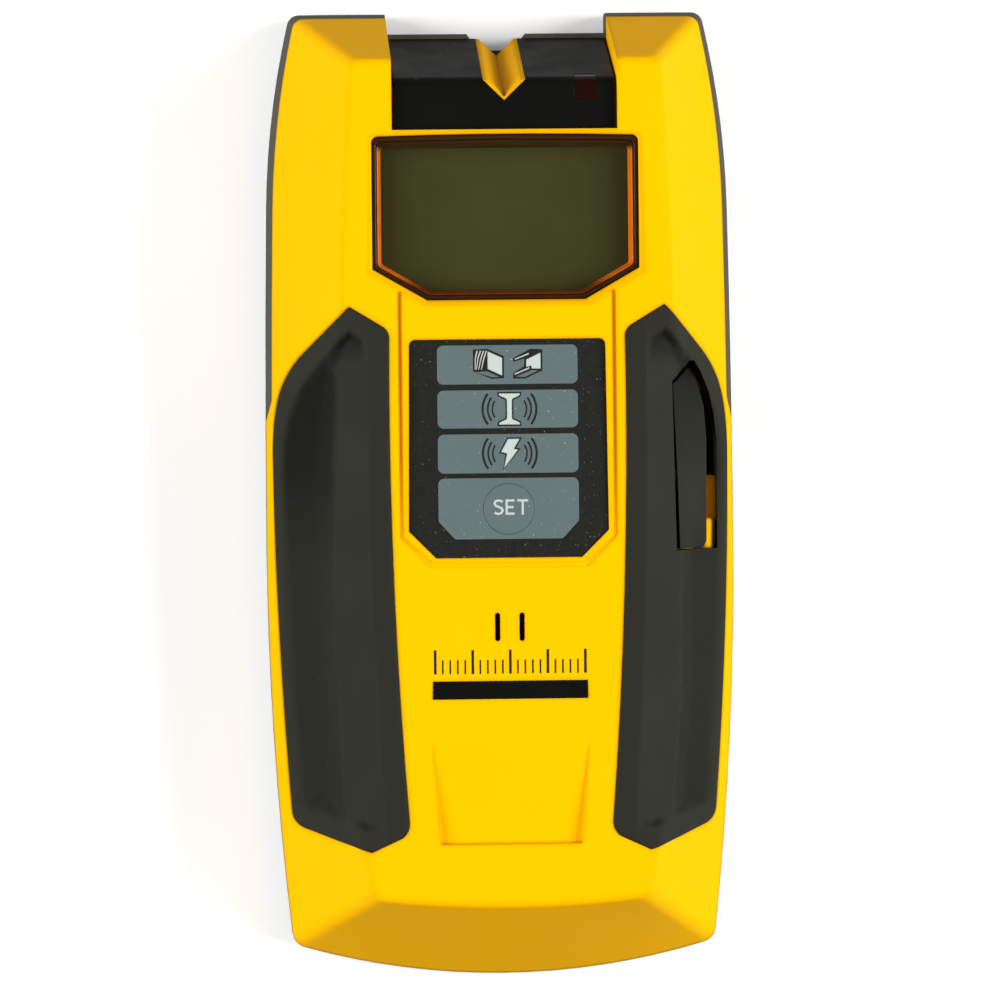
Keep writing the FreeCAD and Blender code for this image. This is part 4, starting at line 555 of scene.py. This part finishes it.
def grip_height(x, y, edge):
    """Outer surface of the right-hand grip: border, sloping shoulder, ridge and finger channel.

    edge is how far each point lies from the grip's outline.
    """
    cover = soft_min(crown(y) + PROUD, flank_height(x, y) + 2.6 * PROUD, 1.6)
    crease, ridge = stations(CREASE, y), stations(RIDGE, y)
    start = crown(y) + PROUD - SHOULDER_DROP
    shoulder = start - SHOULDER_SLOPE * (x - crease)
    wall = start - SHOULDER_SLOPE * (ridge - crease) - WALL_SLOPE * (x - ridge)
    hollow = soft_min(shoulder, wall, 0.9)
    depth = border_distance(x, y, RECESS)
    bank = cover - BANK_SLOPE * np.clip(depth, 0, None)
    carved = soft_min(cover, soft_max(hollow, bank, 0.7), 0.3)
    surface = np.where(depth > -0.6, carved, cover)
    near = np.clip(edge, 0, LIP)
    return surface - (LIP - np.sqrt(LIP ** 2 - (LIP - near) ** 2)) * 1.2


# the seat under the grip, as (x, z); rows of the grip's mesh, as (from y, to y, count)
BED = [(10, 34.64), (21.5, 34.64), (25.6, 31.84), (27.2, 26.04), (30.0, 14.04), (36.2, 8.34), (45, 8.34)]
GRIP_ROWS = [(30.9, 24, 24), (24, -50, 230), (-50, -58.33, 30)]
GRIP_COLUMNS = 96
GRIP_PLAY, GRIP_THIN, GRIP_SMOOTHINGS = 0.03, 0.4, 3
CUTTER_HIGH = 60


def make_grip(name, node, side, hole):
    """One soft grip as a closed mesh between its seat and its moulded surface."""
    spans = [np.linspace(*span) for span in GRIP_ROWS]
    rows = np.concatenate(spans[:1] + [span[1:] for span in spans[1:]])
    inner = np.interp(-rows, -INNER_EDGE[:, 1], INNER_EDGE[:, 0]) + GRIP_PLAY
    outer = np.interp(-rows, -OUTER_EDGE[:, 1], OUTER_EDGE[:, 0]) - GRIP_PLAY
    share = np.linspace(0, 1, GRIP_COLUMNS)[None, :]
    share = share + 0.02 * np.sin(2 * math.pi * share)
    x = inner[:, None] * (1 - share) + outer[:, None] * share
    y = np.repeat(rows[:, None], GRIP_COLUMNS, 1)
    loop = [tuple(p) for p in OUTER_EDGE] + [tuple(p) for p in INNER_EDGE[::-1][1:-1]]
    edge = np.abs(border_distance(x, y, loop))
    top = grip_height(x, y, edge)
    for _ in range(GRIP_SMOOTHINGS):
        inside = top[1:-1, 1:-1]
        around = (top[2:, 1:-1] + top[:-2, 1:-1] + top[1:-1, 2:] + top[1:-1, :-2]) / 4
        top[1:-1, 1:-1] = inside + 0.5 * (around - inside)
    low = np.minimum(np.interp(x, *zip(*BED)), top - GRIP_THIN)
    points = [(side * a, b, c) for z in (top, low) for a, b, c in zip(x.ravel(), y.ravel(), z.ravel())]
    faces = sheet_faces(len(rows), GRIP_COLUMNS)
    if side < 0:
        faces = [face[::-1] for face in faces]
    made = piece(name, points, faces, MATERIALS["soft_grip"])
    # painted shade, darkest at the head of the finger channel
    painted_shade = grip_painted_shade(x, y).ravel()
    put_painted_shade(made, np.concatenate([painted_shade, painted_shade]))
    if hole:
        cutter = plate(name + ".hole", [hole], 0, CUTTER_HIGH, MATERIALS["soft_grip"])
        cut = made.modifiers.new("hole", "BOOLEAN")
        cut.object, cut.operation, cut.solver = cutter, "DIFFERENCE", "EXACT"
        baked(made)
        bpy.data.objects.remove(cutter)
        made.data.shade_smooth()
        sharpen(made, 50)
    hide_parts(node)


# outline of the lever's slot in the right-hand grip
HOLE = [(27.65, -9.42), (35.82, -9.42), (35.82, 9.0), (35.32, 13.0), (34.3, 16.6), (32.62, 20.0),
        (31.32, 21.8), (30.42, 21.75), (27.08, 18.3)]
make_grip("grip_left_moulding", "left_grip", -1, None)
make_grip("grip_right_moulding", "right_grip", 1, HOLE)


# ------------------------------------------------------------------ power lever
LEVER_LEFT = [(17.87, 27.27), (8.0, 27.75), (-0.5, 28.05), (-9.16, 28.28)]
LEVER_RIGHT = [(21.67, 31.2), (20.84, 31.56), (17.2, 32.49), (14.25, 33.25), (8.95, 33.62), (0, 33.55),
               (-8.0, 33.45), (-9.05, 33.0), (-9.16, 32.6)]
LEVER_HEAD_Y, LEVER_SKEW, LEVER_FOOT_Y, LEVER_LOW = 17.87, 3.8, -9.16, 18.12
LEVER_RIDGE_Z, LEVER_EDGE_Z, LEVER_EDGE_RISE = 33.3, 21.2, 1.2
LEVER_ROWS, LEVER_COLUMNS = 120, 48
LEVER_ROUND = 0.35


def lever_point(share, down):
    """A point of the lever's outer face, from its share across and its share down from the head."""
    seam = LEVER_HEAD_Y + LEVER_SKEW * share
    y = seam * (1 - down) + LEVER_FOOT_Y * down
    left, right = stations(LEVER_LEFT, min(y, LEVER_HEAD_Y)), stations(LEVER_RIGHT, y)
    x = left + (right - left) * share
    edge_z = LEVER_EDGE_Z + LEVER_EDGE_RISE * down
    z = edge_z + (LEVER_RIDGE_Z - edge_z) * (1 - share) ** (1.2 + 0.55 * down)
    near = min(x - left, right - x, (seam - y) * 0.7, y - LEVER_FOOT_Y)
    return x, y, z - LEVER_ROUND * (1 - min(near / LEVER_ROUND, 1)) ** 2


def lever_painted_shade(share, down):
    """Share of painted shade on the lever: most at its head, some along its inner side and foot."""
    head = max(0.78 - 1.15 * down - 0.2 * share * (1 - down), 0.0)
    return head + 0.18 * max(1 - share * 2.2, 0) * down + 0.15 * smooth(down, 0.8, 1.0)


def make_lever():
    """The lever as a closed mesh: a hollow face that falls from the grip's ridge to a crisp edge."""
    places = [(j / (LEVER_COLUMNS - 1), i / (LEVER_ROWS - 1))
              for i in range(LEVER_ROWS) for j in range(LEVER_COLUMNS)]
    top = [lever_point(*place) for place in places]
    low = [(x, y, LEVER_LOW) for x, y, z in top]
    made = piece("power_lever_moulding", top + low, sheet_faces(LEVER_ROWS, LEVER_COLUMNS),
                 MATERIALS["soft_grip"], "lever")
    # painted shade, darkest at the lever's head
    put_painted_shade(made, [lever_painted_shade(*place) for place in places] * 2)
    sharpen(made, 50)
    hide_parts("power_lever")


make_lever()

# the rubber goes on down the outer side of the lever's slot, and over the head of the slot's floor
LINING = [(35.72, 2.8), (35.72, 9.0), (35.22, 13.0), (34.2, 16.6), (32.55, 19.9), (31.4, 21.6)]
LINING_LOW, LINING_HIGH, LINING_UNDER_FLANK = 11.6, 11.9, 1.2
LINING_BACK, LINING_FLOOR_BACK = (0.3, 0.05), (0.27, 0.03)
LINING_FLOOR_X, LINING_FLOOR_ENDS = 32.65, (2.82, 17.5)


def moved_back(place, distance):
    return place[0] - distance[0], place[1] - distance[1]


def make_lining():
    """A wall along the slot's outer side and a thin floor at its head, as one piece."""
    points = []
    for x, y in LINING:
        high = float(flank_height(x, y)) - LINING_UNDER_FLANK
        back = moved_back((x, y), LINING_BACK)
        points += [(x, y, LINING_LOW), (*back, LINING_LOW), (*back, high), (x, y, high)]
    faces = stacked_faces(len(LINING), 4)
    start, end = LINING_FLOOR_ENDS
    loop = [(LINING_FLOOR_X, start)] + [moved_back(place, LINING_FLOOR_BACK) for place in LINING[:4]]
    loop.append((LINING_FLOOR_X, end))
    base = len(points)
    points += [(x, y, z) for z in (LINING_LOW, LINING_HIGH) for x, y in loop]
    faces += [tuple(base + k for k in face) for face in stacked_faces(2, len(loop))]
    piece("grip_right_slot_lining", points, faces, MATERIALS["black_trim"], smooth=False)


make_lining()

# bright step at the foot of the slot: its section as (x, z), and its length as (y, drop) so that the
# ends are rounded
STEP_SECTION = [(32.7, 13.2), (33.3, 13.8), (33.9, 13.95), (34.5, 13.75), (35.1, 13.2), (35.55, 12.5),
                (35.75, 12.0)]
STEP_STATIONS = [(-9.42, 0.25), (-9.27, 0), (-4.9, 0), (-4.55, 0.2), (-4.4, 0.7)]
STEP_LOW = 11.45


def make_step():
    """The step, as its section set along the slot."""
    points = []
    for y, drop in STEP_STATIONS:
        points += [(x, y, z - drop) for x, z in STEP_SECTION]
        points += [(STEP_SECTION[-1][0], y, STEP_LOW), (STEP_SECTION[0][0], y, STEP_LOW)]
    faces = stacked_faces(len(STEP_STATIONS), len(STEP_SECTION) + 2)
    made = piece("lever_slot_step", points, faces, MATERIALS["yellow_shell"])
    sharpen(made, 50)


make_step()

# ------------------------------------------------------------------ display lens
LENS_CORNERS = [(-12.85, 32.07), (12.85, 32.07), (21.73, 37.15), (21.73, 58.65), (0, 58.97),
                (-21.73, 58.65), (-21.73, 37.15)]
LENS_ROUND = [1.3, 1.3, 1.2, 1.1, 20, 1.1, 1.2]
# the frame's section as (inset, height), and which of its faces get the painted glow
LENS_RINGS = [(0.0, 32.9), (0.0, 35.0), (0.04, 35.3), (0.14, 35.48), (0.34, 35.54), (0.52, 35.46),
              (0.60, 35.2), (0.66, 34.5), (0.74, 34.5), (0.80, 34.8), (0.92, 34.75), (1.45, 32.7),
              (1.50, 32.3), (0.4, 32.3)]
LENS_PAINTED_GLOW = (8, 9, 10)
LENS_INSET, EXTRA_HEAD, LENS_HEAD_FROM = 1.5, 0.3, 50
PANE_INSET, PANE_LOW, PANE_HIGH = 0.5, 34.9, 35.1


def lens_ring(inset):
    """The lens outline moved inwards; the head edge moves further than the others."""
    head = EXTRA_HEAD * inset / LENS_INSET
    corners = [(x, y - (head if y > LENS_HEAD_FROM else 0)) for x, y in grown(LENS_CORNERS, -inset)]
    return softened(corners, [max(r - inset * 0.35, 0.3) for r in LENS_ROUND])


def make_lens():
    """A dark frame whose inner edge has a painted glow and whose pale specks are painted glints, and a
    thin clear pane inside it.
    """
    outlines = [lens_ring(inset) for inset, height in LENS_RINGS]
    points = [(x, y, ring[1]) for ring, outline in zip(LENS_RINGS, outlines) for x, y in outline]
    width = len(outlines[0])
    # the rim's near-white specks are painted glints
    rim = moulded("lens_rim_painted_glints", rgb(44, 22, 6), 0.14, 900, 1e-6, 0.25, 0.02, speck=rgb(240, 220, 190),
                  wear=0, edge=0.00008, gloss=0.35)
    lens_frame = piece("display_lens_frame", points, stacked_faces(len(LENS_RINGS), width, closed=True),
                        rim)
    lens_frame.data.materials.append(lens_edge_painted_light("lens_edge_painted_light"))
    # faces with the painted glow get the second material
    for index, face in enumerate(lens_frame.data.polygons):
        if index // width in LENS_PAINTED_GLOW:
            face.material_index = 1
    sharpen(lens_frame, 40)
    plate("display_lens_pane", [lens_ring(PANE_INSET)], PANE_LOW, PANE_HIGH, MATERIALS["amber_lens"])
    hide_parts("display_lens")


make_lens()

# ------------------------------------------------------------------ keypad
FILM_TOP, FIELD_PROUD = 36.47, 0.02
FIELD_HALF, FIELD_ROUND = 11.5, 1.0
MODE_FIELDS = [(24.5, 18.12), (17.14, 10.93), (9.95, 3.57)]
SELECT_HEAD, SELECT_SHOULDER, SELECT_FOOT, SELECT_FOOT_HALF = 2.76, -4.3, -7.2, 8.8
SELECT_ROUND = [0.5, 0.5, 0.8, 1.0, 1.0, 0.8]
KEY, KEY_HOLE = (0.0, -2.3), 4.2
INK = moulded("black_ink", rgb(26, 27, 25), 0.5, wear=0, specks=0, gloss=0.15)
WHITE_INK = moulded("white_ink", rgb(168, 177, 173), 0.5, tone=0.03, wear=0, specks=0.02, gloss=0.15)


def make_field(number, loops):
    """One bright field of the keypad."""
    plate(f"keypad_field_{number}", loops, FILM_TOP - FIELD_PROUD, FILM_TOP + FIELD_PROUD,
          MATERIALS["key_film"])


for number, (high, low) in enumerate(MODE_FIELDS, 1):
    field = [(-FIELD_HALF, low), (FIELD_HALF, low), (FIELD_HALF, high), (-FIELD_HALF, high)]
    make_field(number, [softened(field, FIELD_ROUND)])
select_field = [(-SELECT_FOOT_HALF, SELECT_FOOT), (SELECT_FOOT_HALF, SELECT_FOOT),
                (FIELD_HALF, SELECT_SHOULDER), (FIELD_HALF, SELECT_HEAD), (-FIELD_HALF, SELECT_HEAD),
                (-FIELD_HALF, SELECT_SHOULDER)]
make_field(4, [softened(select_field, SELECT_ROUND), circle(*KEY, KEY_HOLE)])

# the round key's (radius, height) profile, from the middle of its dome down to its stem
KEY_PROFILE = [(0.4, 36.600), (1.5, 36.598), (2.6, 36.590), (3.4, 36.575), (3.78, 36.56), (3.98, 36.535),
               (4.09, 36.50), (4.15, 36.45), (4.165, 36.38), (4.165, 36.0), (4.1, 35.9), (4.1, 34.4),
               (1.5, 34.4), (1.5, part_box("select_key")[0].z / MM)]
KEY_SIDES = 96


def make_key():
    """The round key, turned about an upright axis from its profile."""
    points = [(x, y, height) for radius, height in KEY_PROFILE
              for x, y in circle(*KEY, radius, KEY_SIDES)]
    faces = [face[::-1] for face in stacked_faces(len(KEY_PROFILE), KEY_SIDES)]
    key = piece("select_key_dome", points, faces, MATERIALS["key_film"], "key")
    sharpen(key, 55)
    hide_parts("select_key")


make_key()

# pictures on the fields: timber and metal stud, deep metal, live wire; white loops lie on black ones
SIGN_LOW, BLACK_PROUD, WHITE_PROUD = -0.01, 0.035, 0.05
timber = [(-5.6, 23.8), (-5.6, 20.25), (-2.6, 19.0), (-0.55, 19.1), (-0.55, 22.7), (-3.3, 23.9)]
timber_face = [(-3.22, 23.5), (-3.22, 20.62), (-0.85, 19.5), (-0.85, 22.42)]
timber_under = [(-5.2, 20.1), (-3.35, 20.25), (-1.3, 19.3), (-2.55, 19.25)]
grain_lines = [[(-5.33 + a, 23.6), (-5.33 + b, 22.4), (-5.33 + c, 20.55), (-5.19 + c, 20.5),
                (-5.15 + b, 22.3), (-5.1 + a, 23.6)]
               for a, b, c in ((0.3, 0.02, 0.0), (0.85, 0.45, 0.2), (1.35, 0.95, 0.55), (1.8, 1.42, 1.0))]
stud = [(0.95, 22.35), (1.0, 21.75), (2.8, 22.25), (2.75, 21.0), (0.95, 19.9), (0.95, 19.0), (2.95, 19.0),
        (5.75, 20.3), (5.75, 23.75), (3.75, 23.85)]
stud_loops = [[(1.25, 22.25), (1.25, 22.05), (3.55, 22.95), (3.55, 23.2)],
              [(3.1, 22.1), (3.1, 20.85), (3.9, 21.1), (4.0, 20.6), (5.45, 20.6), (5.45, 23.2)],
              [(1.2, 19.85), (1.2, 19.6), (3.6, 20.6), (3.6, 20.85)]]
stud_under = [(1.35, 19.3), (2.85, 19.25), (5.1, 20.3), (3.9, 20.35)]
MID, BEAM_Y, BOLT_Y, OUTLINE = 0.28, 14.04, 6.78, 0.24
WAVES = [(4.05, 0.36, 38), (3.2, 0.30, 36), (2.45, 0.26, 34)]
half_beam = [(1.70, -2.55), (1.70, -2.35), (1.62, -2.2), (0.50, -1.68), (0.40, -1.35), (0.40, 1.35),
             (0.50, 1.68), (1.62, 2.2), (1.70, 2.35), (1.70, 2.55)]
beam = [(MID + x, BEAM_Y + y) for x, y in half_beam] + [(MID - x, BEAM_Y + y) for x, y in half_beam[::-1]]
bolt = [(MID - 0.3, 9.15), (MID - 1.42, 7.02), (MID - 0.45, 6.75), (MID - 1.0, 4.35), (MID + 1.36, 7.4),
        (MID + 0.62, 7.5), (MID + 1.6, 9.15)]
waves = []
for y in (BEAM_Y, BOLT_Y):
    for radius, thick, spread in WAVES:
        for side, middle in ((0.35, 0), (-0.35, 180)):
            waves.append(sector(MID + side, y, radius - thick / 2, radius + thick / 2,
                                middle - spread, middle + spread))
black = [timber, timber_under, stud, stud_under, grown(beam, OUTLINE), grown(bolt, OUTLINE)] + waves
white = [timber_face, beam, bolt] + grain_lines + stud_loops
plate("keypad_signs_ink", black, FILM_TOP + SIGN_LOW, FILM_TOP + BLACK_PROUD, INK)
plate("keypad_signs_white", white, FILM_TOP, FILM_TOP + WHITE_PROUD, WHITE_INK)


def stroke(points, width):
    """The outline of an open bar of even width along some points."""
    left, right = [], []
    for i, point in enumerate(points):
        here = Vector(point)
        first = (here - Vector(points[i - 1])).normalized() if i else None
        second = (Vector(points[i + 1]) - here).normalized() if i < len(points) - 1 else None
        along = ((first or second) + (second or first)).normalized()
        lean = max(along.dot(second or first), 0.5)
        side = Vector((-along.y, along.x)) * (width / 2 / lean)
        left.append(tuple(here + side))
        right.append(tuple(here - side))
    return left + right[::-1]


# the key's word, in plain drawn strokes
WORD_HIGH, WORD_LOW, PEN = -0.72, -3.28, 0.40
WORD_BASE, WORD_TOP = 36.56, 36.625
CURL_X, CURL_SQUEEZE = -2.42, 0.86
middle = (WORD_HIGH + WORD_LOW) / 2
curl = [(1.42, 0.98), (1.1, 1.22), (0.65, 1.28), (0.25, 1.12), (0.08, 0.72), (0.25, 0.32), (0.75, 0.05),
        (1.25, -0.22), (1.42, -0.62), (1.25, -1.05), (0.8, -1.27), (0.4, -1.22), (0.06, -1.0)]
word = [stroke([(CURL_X + x, middle + y * CURL_SQUEEZE) for x, y in curl], PEN)]
word.append([(-0.55, WORD_LOW), (0.95, WORD_LOW), (0.95, WORD_LOW + PEN), (-0.15, WORD_LOW + PEN),
             (-0.15, middle - PEN / 2), (0.8, middle - PEN / 2), (0.8, middle + PEN / 2),
             (-0.15, middle + PEN / 2), (-0.15, WORD_HIGH - PEN), (0.95, WORD_HIGH - PEN),
             (0.95, WORD_HIGH), (-0.55, WORD_HIGH)])
word.append([(2.08, WORD_LOW), (2.48, WORD_LOW), (2.48, WORD_HIGH - PEN), (3.2, WORD_HIGH - PEN),
             (3.2, WORD_HIGH), (1.36, WORD_HIGH), (1.36, WORD_HIGH - PEN), (2.08, WORD_HIGH - PEN)])
plate("select_key_word", word, WORD_BASE, WORD_TOP, WHITE_INK, "key")

# ------------------------------------------------------------------ scale print under the sound slots
TICK_LOW, TICK_COUNT, TICK_HALF = -29.25, 21, 12.3
LONG_TICK, SHORT_TICK, LONG_EVERY = (3.95, 0.42), (2.3, 0.26), 5
TICK_BASE, TICK_FRONT, TICK_TOP = 36.0, 36.02, 36.05
ticks = []
for i in range(TICK_COUNT):
    x = -TICK_HALF + 2 * TICK_HALF * i / (TICK_COUNT - 1)
    tall, wide = LONG_TICK if i % LONG_EVERY == 0 else SHORT_TICK
    ticks.append([(x - wide / 2, TICK_LOW), (x + wide / 2, TICK_LOW), (x + wide / 2, TICK_LOW + tall),
                  (x - wide / 2, TICK_LOW + tall)])
drape(plate("scale_ticks", ticks, TICK_BASE, TICK_TOP, INK), TICK_FRONT)

# ------------------------------------------------------------------ floor, light, camera
# turn in degrees, then the offset of the object from the lens, in millimetres
CAMERA_TURN = (0.454, 2.662, 0.605)
CAMERA_OFFSET = (-0.282, 1.131, -1200.0)
SENSOR, FOCAL_SHARE, CLIP = 36, 7.1157, (0.1, 10)
turn = (Matrix.Rotation(math.radians(CAMERA_TURN[0]), 4, "X")
        @ Matrix.Rotation(math.radians(CAMERA_TURN[1]), 4, "Y")
        @ Matrix.Rotation(math.radians(CAMERA_TURN[2]), 4, "Z"))
lens = bpy.data.cameras.new("camera")
lens.sensor_width = SENSOR
lens.lens = lens.sensor_width * FOCAL_SHARE
lens.clip_start, lens.clip_end = CLIP
camera = bpy.data.objects.new("camera", lens)
scene.collection.objects.link(camera)
camera.matrix_world = (Matrix.Translation(Vector(CAMERA_OFFSET) * MM) @ turn).inverted()
scene.camera = camera

# the floor looks white, but bounces less light than that on to the sides of the object
FLOOR_HALF, FLOOR_GLOW = 3, 0.12
FLOOR_WHITE, FLOOR_WHITER = (0.86, 0.86, 0.86, 1), (0.89, 0.89, 0.89, 1)
FLOOR_BOUNCE = (0.34, 0.34, 0.34, 1)
floor_paint = Paint("floor")
seen = floor_paint.add("ShaderNodeLightPath").outputs["Is Camera Ray"]
floor_tone = floor_paint.mix(floor_paint.noise(6, 3), FLOOR_WHITE, FLOOR_WHITER)
floor_tone = floor_paint.mix(seen, FLOOR_BOUNCE, floor_tone)
floor_mesh = bpy.data.meshes.new("floor")
floor_mesh.from_pydata([(-FLOOR_HALF, -FLOOR_HALF, 0), (FLOOR_HALF, -FLOOR_HALF, 0),
                        (FLOOR_HALF, FLOOR_HALF, 0), (-FLOOR_HALF, FLOOR_HALF, 0)], [], [(0, 1, 2, 3)])
floor_mesh.materials.append(floor_paint.done(
    floor_tone, 0.9, Specular_IOR_Level=0.0, Emission_Color=(1, 1, 1, 1), Emission_Strength=FLOOR_GLOW))
floor = bpy.data.objects.new("floor", floor_mesh)
scene.collection.objects.link(floor)

WORLD_STRENGTH = 0.20
world = bpy.data.worlds.new("studio")
scene.world = world
world.use_nodes = True
background = world.node_tree.nodes["Background"]
background.inputs["Color"].default_value = (1, 1, 1, 1)
background.inputs["Strength"].default_value = WORLD_STRENGTH

LAMP_SIZE = 0.9
LAMPS = [("light_right", (1.16, 0.02, 0.76), 31), ("light_left", (-1.16, 0.02, 0.76), 27)]


def softbox(name, place, power):
    """A square soft light that faces the object."""
    data = bpy.data.lights.new(name, "AREA")
    data.size = LAMP_SIZE
    data.energy = power
    lamp = bpy.data.objects.new(name, data)
    scene.collection.objects.link(lamp)
    lamp.location = place
    lamp.rotation_mode = "QUATERNION"
    lamp.rotation_quaternion = (-Vector(place)).to_track_quat("-Z", "Y")


for lamp in LAMPS:
    softbox(*lamp)

scene.view_settings.view_transform = "Standard"
